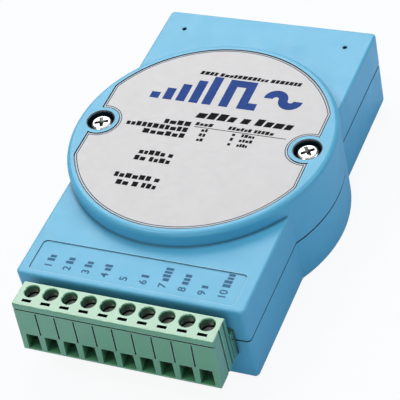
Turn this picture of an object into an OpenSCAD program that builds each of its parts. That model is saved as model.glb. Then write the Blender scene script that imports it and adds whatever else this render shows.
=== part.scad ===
// Serial-bus output module: a two-shell rectangular case with a round drum through its middle,
// a plug-in row of ten rising-cage screw clamps at one end and two captive mounting screws.
// Millimetres, +Z up. The origin is on the base, on the drum's axis, and the terminals face -Y.

/* [Case] */
// Width of the rectangular case across the terminals
case_w = 60; // [58:1:62]
// Length of the case from end wall to end wall
case_l = 101; // [98:1:106]
// Height of the rectangular case
case_h = 23.7; // [23.6:0.1:24.4]
// Radius of the case's four upright corners
corner_r = 1.2; // [0.8:0.1:1.5]
// Wall thickness of both shells
wall = 2; // [1.8:0.1:2.1]
// Chamfer round the base
base_chamfer = 1.4; // [0.8:0.1:1.6]
// Chamfer round the top edges of the rectangular case
top_chamfer = 0.5; // [0.3:0.1:0.8]
// Height of the lower shell's outer rim
parting_z = 13.1; // [12.8:0.1:13.4]
// Shadow gap between the two shells
parting_gap = 0.4; // [0.3:0.1:0.6]
// Height that the lower shell's tongue rises above its rim
tongue_h = 1.5; // [1.2:0.1:1.5]

/* [Drum] */
// Radius of the round drum
drum_r = 35; // [34.5:0.1:36]
// Height of the drum's face above the base
drum_h = 28; // [28:0.1:29]
// Radius of the drum's rounded rim
rim_r = 1.2; // [0.8:0.1:1.5]

/* [Labels] */
// Radius of the round face label
label_r = 32.8; // [32:0.1:33]
// Half width of the face label between its two straight edges
label_half_w = 30; // [29:0.1:31]
// Thickness of the label film
label_t = 0.3; // [0.2:0.05:0.3]
// Depth of the recess that a label lies in
label_recess = 0.4; // [0.35:0.05:0.5]
// Width of the rating label on the base
rating_w = 42; // [30:1:44]
// Length of the rating label on the base
rating_l = 26; // [20:1:28]
// Depth of the shallow panel in the top beside the terminals
panel_recess = 0.3; // [0.2:0.05:0.4]
// Length of the shallow panel, measured from the terminal end
panel_l = 11.5; // [11:0.1:12]
// Radius of the two marker holes in the top at the blind end
marker_r = 0.8; // [0.6:0.1:1]

/* [Captive mounting screws] */
// Distance from the drum's axis to each mounting screw
mount_x = 28.55; // [28:0.05:28.6]
// Radius of the post that carries a mounting screw
mount_post_r = 5; // [4.8:0.1:5]
// Radius of the counterbore round the screw's head
mount_recess_r = 3.5; // [3.3:0.1:3.6]
// Radius of the screw's head
mount_head_r = 3.1; // [2.9:0.1:3.2]
// Height of the screw's head
mount_head_h = 2.4; // [2:0.1:2.6]
// Radius of the M3 shank
mount_shank_r = 1.5; // [1.4:0.05:1.55]
// How far the screw can be driven out below the base
mount_travel = 5; // [4:0.5:5]
// Radius of the retaining ring on the shank
ring_r = 2.8; // [2.6:0.1:2.8]
// Thickness of the retaining ring
ring_t = 0.8; // [0.6:0.1:0.9]

/* [Case screws] */
// Distance of the case screws from the middle line
case_screw_x = 23.4; // [23:0.1:24]
// Place of the case screws at the blind end
case_screw_rear_y = 43.5; // [43:0.1:44]
// Place of the case screws at the terminal end
case_screw_front_y = -36; // [-36:0.1:-35]
// Shank radius of a case screw
case_screw_r = 1.25; // [1.1:0.05:1.3]
// Head radius of a case screw
case_screw_head_r = 2.4; // [2.2:0.1:2.5]

/* [Circuit board] */
// Width of the circuit board
board_w = 54; // [52:0.5:55]
// Height of the board's underside above the base
board_z = 6.9; // [6.9:0.1:7]
// Thickness of the circuit board
board_t = 1.6; // [1.6:0.1:1.6]

/* [Terminal plug] */
// Number of poles in the terminal row
poles = 10; // [10:1:10]
// Distance between neighbouring poles
pitch = 5.08; // [5.08:0.01:5.08]
// Width of the plug
plug_w = 52.4; // [52.2:0.1:52.6]
// Height of the plug
plug_h = 15.1; // [15:0.1:15.1]
// Distance from the case's end wall to the back of the plug's body
plug_back = 2.2; // [2.2:0.1:2.4]
// Distance from the end wall to the plug's front at its top edge
plug_top_front = 9.6; // [9.4:0.1:9.8]
// Distance from the end wall to the plug's front at its foot
plug_foot_front = 11; // [10.8:0.1:11.2]
// Length of the plug's nose inside the header, measured from the end wall
nose_l = 6; // [5.8:0.1:6]
// Radius of a screw well in the plug's top
well_r = 1.85; // [1.8:0.01:1.9]
// Width of a wire entry
entry_w = 3.1; // [3:0.1:3.2]
// Width of a groove between two poles
groove_w = 0.4; // [0.3:0.1:0.5]

/* [Clamps] */
// Distance from the end wall to the row of clamp screws
clamp_reach = 4.9; // [4.9:0.05:4.95]
// Radius of a clamp screw's head
clamp_head_r = 1.75; // [1.7:0.01:1.76]
// Radius of a clamp screw's threaded shank
clamp_shank_r = 1.45; // [1.4:0.01:1.46]
// Outer width of a rising cage
cage_w = 3.5; // [3.4:0.1:3.5]
// Outer depth of a rising cage, along the wire
cage_d = 4.2; // [4:0.1:4.2]
// How far a cage rises from open to closed
cage_travel = 2.4; // [2:0.1:2.4]

/* [Hidden] */
$fn = 64;
CUT = 1;          // how far a cutter runs past the face that it opens
SLIP = 0.1;       // side clearance between sliding mouldings
case_front = -case_l / 2;
board_top = board_z + board_t;
upper_z = parting_z + parting_gap;
tongue_top = parting_z + tongue_h;
shoulder_z = tongue_top + SLIP;
drum_ceiling = drum_h - wall - label_recess;
case_ceiling = case_h - wall;
boss_face_z = drum_h;
// Heights in the stack of a captive mounting screw
head_top = drum_h - 0.7;
head_seat = head_top - mount_head_h;
counterbore_z = head_seat - mount_travel - 0.5;
ring_z = shoulder_z - 0.1 - ring_t;
ring_pocket_z = ring_z - mount_travel - 0.1;
screw_tip_z = 0.5;
neck_r = mount_shank_r - 0.3;
// Heights in the plug, counted from the base of the case
plug_z = board_top;
plug_top = plug_z + plug_h;
pin_z = plug_z + 4.3;
nose_bottom = plug_z + 1.2;
nose_top = plug_z + 7.4;
nose_w = 50.2;
header_w = 52.4;
header_h = 8.6;
header_lip = 2;
header_depth = 11.4;
header_wall = 0.9;
pin_w = 1;
well_floor = plug_top - 4.2;
clamp_head_h = 1.6;
chamber_w = cage_w + 2 * SLIP;
chamber_d = cage_d + 2 * SLIP;
chamber_z = plug_z + 0.7;
chamber_top = well_floor - 0.9;
cage_z = chamber_z + 0.1;
cage_h = 6.7;
cage_floor_t = 1;
cage_roof_t = 1.6;
plate_w = 2.2;
plate_t = 0.7;
plate_z = cage_z + cage_h - cage_roof_t - plate_t - 0.1;
socket_w = 2.2;
entry_z = chamber_z;
entry_h = 4.6;
ledge_z = plug_top - 2;
groove_depth = 0.5;

POLES = [1:poles];
SIDES = [-1, 1];

function pole_x(n) = (n - (poles + 1) / 2) * pitch;
function out(d) = case_front - d;    // y of a point that is d in front of the end wall
// How far the plug's leaning front stands in front of the end wall at a height
function front_at(z) =
    plug_foot_front - (plug_foot_front - plug_top_front) * (z - plug_z) / plug_h;

// ---------------------------------------------------------------- shared outlines

module rounded_rectangle(w, l, r) {
    square([w - 2 * r, l], center = true);
    square([w, l - 2 * r], center = true);
    for (x = SIDES, y = SIDES)
        translate([x * (w / 2 - r), y * (l / 2 - r)]) circle(r);
}

// Outline of the case seen from above, moved inwards by an inset
module case_plan(inset) {
    rounded_rectangle(case_w - 2 * inset, case_l - 2 * inset, max(corner_r - inset, 0.3));
    circle(drum_r - inset);
}

// A bar along Y with the given width, height and chamfered lower or upper edges
module chamfered_bar(w, l, h, low, high) {
    rotate([90, 0, 0]) translate([0, 0, -l / 2]) linear_extrude(l)
        polygon([[-w / 2 + low, 0], [w / 2 - low, 0], [w / 2, low], [w / 2, h - high],
                 [w / 2 - high, h], [-w / 2 + high, h], [-w / 2, h - high], [-w / 2, low]]);
}

module chamfered_block(w, l, h, low, high) {
    intersection() {
        linear_extrude(h) rounded_rectangle(w, l, corner_r);
        chamfered_bar(w, l, h, low, high);
        rotate([0, 0, 90]) chamfered_bar(l, w, h, low, high);
    }
}

module label_outline(grow) {
    difference() {
        intersection() {
            circle(label_r + grow);
            square([2 * (label_half_w + grow), 3 * drum_r], center = true);
        }
        for (x = SIDES) translate([x * mount_x, 0]) circle(mount_post_r - grow);
    }
}

module at_case_screws() {
    for (x = SIDES, y = [case_screw_front_y, case_screw_rear_y])
        translate([x * case_screw_x, y, 0]) children();
}

module at_mounting_screws() {
    for (x = SIDES) translate([x * mount_x, 0, 0]) children();
}

module tube(r, bore, h) {
    difference() {
        cylinder(r = r, h = h);
        translate([0, 0, -CUT]) cylinder(r = bore, h = h + 2 * CUT);
    }
}

// The opening in the end wall that the header looks out of
module header_opening() {
    translate([-header_w / 2 - SLIP, case_front - CUT, plug_z - SLIP])
        cube([header_w + 2 * SLIP, wall + 2 * CUT, header_h + 2 * SLIP]);
}

// ---------------------------------------------------------------- shells

module drum_solid() {
    rotate_extrude() {
        square([drum_r, drum_h - rim_r]);
        square([drum_r - rim_r, drum_h]);
        translate([drum_r - rim_r, drum_h - rim_r]) circle(rim_r);
    }
}

module upper_outside() {
    difference() {
        union() {
            chamfered_block(case_w, case_l, case_h, 0, top_chamfer);
            drum_solid();
        }
        translate([-case_w, -case_l, -CUT]) cube([2 * case_w, 2 * case_l, upper_z + CUT]);
    }
}

module upper_hollow() {
    translate([0, 0, upper_z - CUT]) linear_extrude(shoulder_z - upper_z + CUT)
        case_plan(wall / 2);
    translate([0, 0, shoulder_z - CUT]) {
        linear_extrude(case_ceiling - shoulder_z + CUT)
            rounded_rectangle(case_w - 2 * wall, case_l - 2 * wall, 0.3);
        cylinder(r = drum_r - wall, h = drum_ceiling - shoulder_z + CUT);
    }
}

module upper_posts() {
    at_mounting_screws() translate([0, 0, shoulder_z])
        cylinder(r = mount_post_r, h = boss_face_z - shoulder_z);
    at_case_screws() translate([0, 0, board_top]) cylinder(r = 3, h = case_h - board_top - 1);
}

module upper_case() color("skyblue") difference() {
    union() {
        difference() {
            upper_outside();
            upper_hollow();
            translate([0, 0, drum_h - label_recess]) linear_extrude(label_recess + CUT)
                label_outline(SLIP);
        }
        upper_posts();
    }
    at_mounting_screws() {
        translate([0, 0, counterbore_z]) cylinder(r = mount_recess_r, h = drum_h);
        cylinder(r = mount_shank_r + 0.2, h = drum_h);
    }
    at_case_screws() translate([0, 0, board_top - CUT])
        cylinder(r = case_screw_r + 0.02, h = 8 + CUT);
    for (x = SIDES) translate([x * case_screw_x, case_screw_rear_y, case_h - 1])
        cylinder(r = marker_r, h = 2);
    header_opening();
    translate([-27.3, case_front + 1.6, case_h - panel_recess])
        cube([54.3, panel_l - 1.6, panel_recess + CUT]);
}

module lower_outside() {
    intersection() {
        union() {
            chamfered_block(case_w, case_l, case_h, base_chamfer, 0);
            cylinder(r1 = drum_r - base_chamfer, r2 = drum_r, h = base_chamfer);
            translate([0, 0, base_chamfer]) cylinder(r = drum_r, h = case_h - base_chamfer);
        }
        union() {
            linear_extrude(parting_z) case_plan(-CUT);
            linear_extrude(tongue_top) case_plan(wall / 2 + SLIP);
        }
    }
}

module lower_hollow() {
    translate([0, 0, wall]) linear_extrude(case_h) case_plan(wall);
}

module lower_posts() {
    at_mounting_screws() cylinder(r = mount_post_r, h = tongue_top);
    at_case_screws() cylinder(r = 3.4, h = board_z);
    for (x = SIDES) translate([x * 24 - 1.5, case_front + wall + 1, wall - 0.5])
        cube([3, 3, board_z - wall + 0.5]);
}

module lower_case() color("lightskyblue") difference() {
    union() {
        difference() {
            lower_outside();
            lower_hollow();
        }
        lower_posts();
    }
    at_mounting_screws() {
        translate([0, 0, ring_pocket_z]) cylinder(r = ring_r + 0.2, h = case_h);
        translate([0, 0, -CUT]) cylinder(r = mount_shank_r + 0.2, h = case_h);
    }
    at_case_screws() {
        translate([0, 0, -CUT]) cylinder(r = case_screw_head_r + 0.3, h = 2.4 + CUT);
        translate([0, 0, -CUT]) cylinder(r = case_screw_r + 0.2, h = case_h);
    }
    header_opening();
    translate([-rating_w / 2 - SLIP, 10 - SLIP, -CUT])
        cube([rating_w + 2 * SLIP, rating_l + 2 * SLIP, label_recess + CUT]);
}

module face_label() color("gainsboro")
    translate([0, 0, drum_h - label_recess]) linear_extrude(label_t) label_outline(0);

module rating_label() color("silver")
    translate([-rating_w / 2, 10, label_recess - label_t]) cube([rating_w, rating_l, label_t]);

// Head with a cross recess, standing on z = 0 and looking up
module cross_head(r, h, slot) {
    difference() {
        union() {
            cylinder(r = r, h = h - 0.5);
            translate([0, 0, h - 0.5]) cylinder(r1 = r, r2 = r - 0.5, h = 0.5);
        }
        for (a = [0, 90]) rotate([0, 0, a])
            translate([-slot * 2.2, -slot / 2, h - 1.3]) cube([slot * 4.4, slot, 2]);
    }
}

module case_screws() color("darkgray")
    at_case_screws() {
        translate([0, 0, 2.3]) rotate([180, 0, 0]) cross_head(case_screw_head_r, 1.8, 0.8);
        translate([0, 0, 2.2]) cylinder(r = case_screw_r, h = board_top + 7 - 2.2);
    }

// ---------------------------------------------------------------- captive mounting screws

module retaining_ring(side) color("whitesmoke")
    translate([side * mount_x, 0, ring_z]) tube(ring_r, neck_r + 0.05, ring_t);

module mounting_screw(side) color("silver")
    translate([side * mount_x, 0, 0]) difference() {
        union() {
            translate([0, 0, head_seat]) cross_head(mount_head_r, mount_head_h, 0.9);
            translate([0, 0, screw_tip_z + 0.6])
                cylinder(r = mount_shank_r, h = head_seat - screw_tip_z - 0.5);
            translate([0, 0, screw_tip_z])
                cylinder(r1 = mount_shank_r - 0.5, r2 = mount_shank_r, h = 0.6);
        }
        translate([0, 0, ring_z - 0.05]) tube(2 * mount_shank_r, neck_r, ring_t + 0.1);
    }

// ---------------------------------------------------------------- board and header

module circuit_board() color("darkgreen")
    translate([0, 0, board_z]) linear_extrude(board_t) difference() {
        translate([-board_w / 2, case_front + wall + 0.3])
            square([board_w, case_l - 2 * wall - 0.6]);
        for (x = SIDES) translate([x * mount_x, 0]) circle(mount_post_r + 0.5);
        for (x = SIDES, y = [case_screw_front_y, case_screw_rear_y])
            translate([x * case_screw_x, y]) circle(case_screw_r + 0.4);
        for (n = POLES) translate([pole_x(n), pin_tail_y()]) circle(pin_w * 0.75);
    }

function pin_tail_y() = out(header_lip - header_depth - 0.9);

module pin_header() color("seagreen")
    difference() {
        translate([-header_w / 2, out(header_lip), plug_z]) cube([header_w, header_depth, header_h]);
        translate([-nose_w / 2 - 0.2, out(header_lip + CUT), plug_z + 1])
            cube([nose_w + 0.4, header_lip + nose_l + 0.5 + CUT, nose_top - plug_z - 0.8]);
        for (n = POLES) translate([pole_x(n) - pin_w / 2, out(0), pin_z - pin_w / 2])
            cube([pin_w, header_depth + CUT, pin_w]);
    }

module header_pins() color("gold")
    for (n = POLES) translate([pole_x(n), 0, 0]) {
        translate([-pin_w / 2, out(-0.5), pin_z - pin_w / 2])
            cube([pin_w, pin_tail_y() + pin_w / 2 - out(-0.5), pin_w]);
        translate([-pin_w / 2, pin_tail_y() - pin_w / 2, board_z - 1.4])
            cube([pin_w, pin_w, pin_z - board_z + 1.4]);
    }

// ---------------------------------------------------------------- plug and clamps

module plug_profile() {
    polygon([[plug_back, plug_z], [plug_foot_front, plug_z], [plug_top_front, plug_top],
             [plug_back, plug_top]]);
}

// Section of a groove in the plug's leaning front, between two heights
module front_groove(low, high) {
    polygon([[front_at(low) - groove_depth, low], [front_at(low) + CUT, low],
             [front_at(high) + CUT, high], [front_at(high) - groove_depth, high]]);
}

// Runs a profile drawn as (distance in front of the end wall, height) along X
module across(w) {
    rotate([90, 0, -90]) translate([0, 0, -w / 2]) linear_extrude(w)
        translate([-case_front, 0]) children();
}

module clamp_pocket() {
    chamber_back = clamp_reach - chamber_d / 2;
    entry_front = plug_foot_front + CUT;
    translate([0, out(clamp_reach), well_floor]) cylinder(r = well_r, h = plug_h);
    translate([0, out(clamp_reach), chamber_top - CUT])
        cylinder(r = clamp_shank_r + 0.1, h = plug_h);
    translate([-chamber_w / 2, out(clamp_reach + chamber_d / 2), chamber_z])
        cube([chamber_w, chamber_d, chamber_top - chamber_z]);
    translate([-entry_w / 2, out(entry_front), entry_z])
        cube([entry_w, entry_front - chamber_back - 1, entry_h]);
    translate([-1.25, out(8.45), plug_top - 3]) cube([2.5, 0.9, 3 + CUT]);
}

module socket_pocket() {
    translate([-socket_w / 2 - 0.05, out(plug_back + 1), pin_z - 1.3])
        cube([socket_w + 0.1, plug_back + nose_l + 0.2, plate_z + plate_t - pin_z + 1.35]);
    translate([-0.8, out(-nose_l + 2), pin_z - 0.8]) cube([1.6, 4, 1.6]);
}

module plug_housing() color("mediumseagreen")
    difference() {
        union() {
            across(plug_w) plug_profile();
            translate([-nose_w / 2, out(plug_back + 0.1), nose_bottom])
                cube([nose_w, plug_back + 0.1 + nose_l, nose_top - nose_bottom]);
        }
        for (n = POLES) translate([pole_x(n), 0, 0]) {
            clamp_pocket();
            socket_pocket();
        }
        // ledge line along the front, and a groove between each two poles
        across(2 * plug_w) front_groove(ledge_z, ledge_z + 0.4);
        for (n = [1:poles - 1]) translate([pole_x(n + 0.5), 0, 0])
            across(groove_w) front_groove(entry_z + entry_h + 0.4, ledge_z);
        // ribs moulded on both end faces
        for (x = SIDES, d = [4.2, 6.6]) translate([x * plug_w / 2 - 0.25, out(d), plug_z - CUT])
            cube([0.5, 0.8, plug_h + 2 * CUT]);
    }

module plug_contacts() color("tan")
    for (n = POLES) translate([pole_x(n), 0, 0]) {
        difference() {
            translate([-socket_w / 2, out(plug_back), pin_z - 1.25])
                cube([socket_w, plug_back + nose_l - 0.9, plate_z + plate_t - pin_z + 1.25]);
            translate([-pin_w / 2 - 0.05, out(plug_back + CUT), pin_z - pin_w / 2 - 0.05])
                cube([pin_w + 0.1, plug_back + nose_l + 2 * CUT, pin_w + 0.1]);
        }
        translate([-plate_w / 2, out(clamp_reach + cage_d / 2 - 0.2), plate_z])
            cube([plate_w, clamp_reach + cage_d / 2 - 0.2 - plug_back + 0.5, plate_t]);
    }

// Each slot was left at its own angle when the screw was backed off
function slot_angle(n) = 40 + 14 * sin(97 * n);

module clamp_screw(n) color("lightgray")
    translate([pole_x(n), out(clamp_reach), 0]) {
        difference() {
            translate([0, 0, well_floor]) cylinder(r = clamp_head_r, h = clamp_head_h);
            rotate([0, 0, slot_angle(n)]) translate([-3, -0.3, well_floor + clamp_head_h - 0.7])
                cube([6, 0.6, 2]);
        }
        translate([0, 0, cage_z + cage_h - cage_roof_t + 0.05])
            cylinder(r = clamp_shank_r, h = well_floor - cage_z - cage_h + cage_roof_t);
    }

module clamp_cage(n) color("lightsteelblue")
    translate([pole_x(n), out(clamp_reach), cage_z]) difference() {
        translate([-cage_w / 2, -cage_d / 2, 0]) cube([cage_w, cage_d, cage_h]);
        translate([-cage_w / 2 + 0.45, -cage_d, cage_floor_t])
            cube([cage_w - 0.9, 2 * cage_d, cage_h - cage_floor_t - cage_roof_t]);
        cylinder(r = clamp_shank_r + 0.05, h = 2 * cage_h);
    }

// ---------------------------------------------------------------- components on the board

// Plastic chip with two rows of legs, its length along X
module dual_row_chip(legs, gap = 7.62, w = 6.35, h = 3.3, stand = 0.6) {
    l = legs / 2 * 2.54 - 0.6;
    translate([-l / 2, -w / 2, board_top + stand]) difference() {
        cube([l, w, h]);
        translate([0, w / 2, h - 0.5]) cylinder(r = 0.8, h = 1);
    }
    for (i = [1:legs / 2], side = SIDES)
        translate([(i - (legs / 2 + 1) / 2) * 2.54 - 0.25, side * gap / 2 - 0.15, board_top]) {
            cube([0.5, 0.3, stand + h / 2]);
            translate([0, side > 0 ? -(gap - w) / 2 - 0.1 : 0, stand + h / 2 - 0.3])
                cube([0.5, (gap - w) / 2 + 0.4, 0.3]);
        }
}

module isolation_transformer_core() color("dimgray")
    translate([-12, 20, board_top + 1.2]) difference() {
        cube([18, 7, 14]);
        for (x = [3.2, 11.2]) translate([x, -CUT, 3]) cube([3.6, 9, 8]);
    }

module isolation_transformer_winding() color("orange")
    translate([-12, 20, board_top + 1.2]) {
        difference() {
            translate([3.4, -2.6, 3.2]) cube([11.2, 12.2, 7.6]);
            translate([6.7, -CUT, -CUT]) cube([4.6, 9, 20]);
        }
        for (x = [1, 9, 17], y = [-2, 8]) translate([x - 0.35, y, -1.2]) cube([0.7, 0.7, 1.2]);
        for (y = [-2.6, 7.2]) translate([0, y, 0]) cube([18, 2.2, 2.8]);
    }

module storage_choke() color("black")
    translate([17, 32, board_top]) {
        cylinder(r = 4.5, h = 1.4);
        translate([0, 0, 1.2]) cylinder(r = 3.6, h = 7);
        translate([0, 0, 8]) cylinder(r = 4.5, h = 1.4);
    }

module electrolytic_capacitors() color("midnightblue")
    for (p = [[-17, 12, 4, 11], [20, 21.5, 4, 11], [-21, 34, 3.15, 8]])
        translate([p[0], p[1], board_top]) {
            cylinder(r = p[2], h = 1.6);
            translate([0, 0, 1.5]) cylinder(r = p[2] - 0.25, h = 0.8);
            translate([0, 0, 2.2]) cylinder(r = p[2], h = p[3] - 2.2);
        }

module rectifier_diodes() color("darkslategray")
    for (i = [0:3]) translate([8.5, 36 + i * 3.4, board_top + 1.4]) rotate([0, -90, 0]) {
        cylinder(r = 1.35, h = 5.2);
        translate([0, 0, -2.2]) cylinder(r = 0.4, h = 9.6);
        for (z = [-2.2, 7]) translate([0, 0, z]) rotate([0, -90, 0]) cylinder(r = 0.4, h = 1.4);
    }

module chip_socket() color("saddlebrown")
    translate([-5, -3, board_top]) difference() {
        translate([-10.5, -10.5, 0]) cube([21, 21, 5]);
        translate([-8.7, -8.7, 1.2]) cube([17.4, 17.4, 5]);
    }

module microcontroller() color("darkslategray")
    translate([-5, -3, board_top + 1.25]) difference() {
        translate([-8.3, -8.3, 0]) cube([16.6, 16.6, 4.2]);
        translate([0, 6.5, 3.9]) cylinder(r = 0.7, h = 1);
        translate([8.3, 8.3, -CUT]) rotate([0, 0, 45]) cube([2.4, 2.4, 12], center = true);
    }

module crystal() color("silver")
    translate([-19.6, -8, board_top]) {
        for (y = [-2.4, 2.4]) translate([0, y, 0]) cylinder(r = 0.25, h = 0.4);
        translate([0, 0, 0.3]) linear_extrude(0.5) rounded_rectangle(5, 11.4, 2.4);
        translate([0, 0, 0.7]) linear_extrude(3.2) rounded_rectangle(4.4, 10.6, 2.1);
    }

module program_memory() color("darkslategray") translate([13.5, 3, 0]) dual_row_chip(8);
module watchdog_chip() color("darkslategray") translate([13.5, -8, 0]) dual_row_chip(8);
module converter_chip() color("darkslategray")
    translate([-11, -22, 0]) dual_row_chip(16);
module output_amplifier() color("darkslategray")
    translate([-15.2, -32, 0]) dual_row_chip(8, h = 3.1);
module bus_transceiver() color("darkslategray") translate([14, -29, 0]) dual_row_chip(8);
module optocouplers() color("ghostwhite")
    for (x = [4, 13.5, 23]) translate([x, -18.5, 0]) rotate([0, 0, 90])
        dual_row_chip(6, h = 3.5);

module surge_suppressors() color("royalblue")
    for (x = [8, 15.5]) translate([x, -37.5, board_top + 4]) {
        rotate([-90, 0, 0]) cylinder(r = 2.8, h = 1.8);
        for (s = SIDES) translate([s * 1.8, 0.9, -4]) cylinder(r = 0.3, h = 3);
    }

// Axial resistor lying along Y with both leads bent down
module axial_resistor() {
    translate([0, 0, board_top + 1.3]) rotate([-90, 0, 0]) {
        translate([0, 0, -3]) cylinder(r = 1.1, h = 6);
        translate([0, 0, -4.4]) cylinder(r = 0.3, h = 8.8);
    }
    for (s = SIDES) translate([0, s * 4.1, board_top]) cylinder(r = 0.3, h = 1.4);
}

module resistors() color("burlywood") {
    for (i = [0:3]) translate([2.2 - i * 3.2, -33.5, 0]) axial_resistor();
    for (i = [0:2]) translate([22.5 - i * 3, 11.8, 0]) axial_resistor();
}

module ceramic_capacitors() color("peru")
    for (p = [[-23.6, -18], [-23.6, -25], [22.4, -29], [8, 12], [-3, 13], [-17.9, 43], [-4, 44]])
        translate([p[0], p[1], board_top + 1]) {
            translate([-2.2, -0.9, 0]) cube([4.4, 1.8, 3.6]);
            for (s = SIDES) translate([s * 1.4, 0, -1]) cylinder(r = 0.25, h = 1.2);
        }

// ---------------------------------------------------------------- the part

upper_case();
lower_case();
face_label();
rating_label();
case_screws();
circuit_board();
pin_header();
header_pins();
isolation_transformer_core();
isolation_transformer_winding();
storage_choke();
electrolytic_capacitors();
rectifier_diodes();
microcontroller();
chip_socket();
crystal();
program_memory();
watchdog_chip();
converter_chip();
optocouplers();
output_amplifier();
bus_transceiver();
surge_suppressors();
resistors();
ceramic_capacitors();
retaining_ring(-1);  // retaining_ring_left
retaining_ring(1);  // retaining_ring_right
mounting_screw(-1);  // mounting_screw_left
mounting_screw(1);  // mounting_screw_right
plug_housing();
plug_contacts();
for (n = POLES) clamp_screw(n);
for (n = POLES) clamp_cage(n);
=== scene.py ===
"""Looks of a serial-bus output module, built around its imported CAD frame.

Each sub-assembly is a class that models its pieces with Blender's own operators and dresses
them. Pieces are shaped in millimetres and brought to metres when they are finished.
"""

import logging
import math
import random
from collections.abc import Callable, Iterable, Iterator
from contextlib import contextmanager
from dataclasses import dataclass, field
from enum import Enum
from typing import Any

import bmesh
import bpy
from mathutils import Matrix, Vector


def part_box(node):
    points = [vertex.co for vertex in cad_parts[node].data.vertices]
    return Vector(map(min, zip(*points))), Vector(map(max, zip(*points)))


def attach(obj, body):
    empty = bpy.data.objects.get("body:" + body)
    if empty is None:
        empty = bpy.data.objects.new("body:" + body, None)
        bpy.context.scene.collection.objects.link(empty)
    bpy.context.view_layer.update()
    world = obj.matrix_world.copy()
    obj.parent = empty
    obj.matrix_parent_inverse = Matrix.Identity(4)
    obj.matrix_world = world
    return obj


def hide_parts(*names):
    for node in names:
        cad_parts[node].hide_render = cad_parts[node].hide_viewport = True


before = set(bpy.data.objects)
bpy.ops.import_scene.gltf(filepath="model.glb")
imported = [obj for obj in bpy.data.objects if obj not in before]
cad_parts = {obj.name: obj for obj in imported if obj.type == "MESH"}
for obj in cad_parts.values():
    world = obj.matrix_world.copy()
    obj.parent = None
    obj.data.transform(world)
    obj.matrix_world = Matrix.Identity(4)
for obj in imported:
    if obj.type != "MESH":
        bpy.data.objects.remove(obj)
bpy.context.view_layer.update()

LOG = logging.getLogger("output_module")
MM = 0.001
TINY = 0.01
PAST = 1.0

Triple = tuple[float, float, float]
Ring = tuple[float, float]
Words = tuple[int, ...]
Test = Callable[[Vector, Vector], bool]


class Part(Enum):
    """The kinds of mesh element that can be picked, as Blender names them."""

    VERTEX = "VERT"
    EDGE = "EDGE"
    FACE = "FACE"


class Side(Enum):
    """The two ends of the drum's cross line."""

    LEFT = -1
    RIGHT = 1


@dataclass(frozen=True)
class CadBox:
    """Lowest and highest corner of a CAD node, in millimetres."""

    low: Vector
    high: Vector

    @classmethod
    def of(cls, node: str) -> "CadBox":
        """Measure a CAD node.

        Args:
            node: The node's name.

        Returns:
            The node's box at rest.
        """
        low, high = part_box(node)
        return cls(low / MM, high / MM)

    @property
    def middle(self) -> Vector:
        """The box's centre."""
        return (self.low + self.high) / 2


def box_field(node: str) -> Any:
    """A dataclass field that holds the box of a CAD node."""
    return field(default_factory=lambda: CadBox.of(node))


# ---------------------------------------------------------------- modelling


def wake(*objects: bpy.types.Object) -> None:
    """Select these objects and no others, the first one active."""
    bpy.ops.object.select_all(action="DESELECT")
    for obj in objects:
        obj.select_set(True)
    bpy.context.view_layer.objects.active = objects[0]


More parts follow.
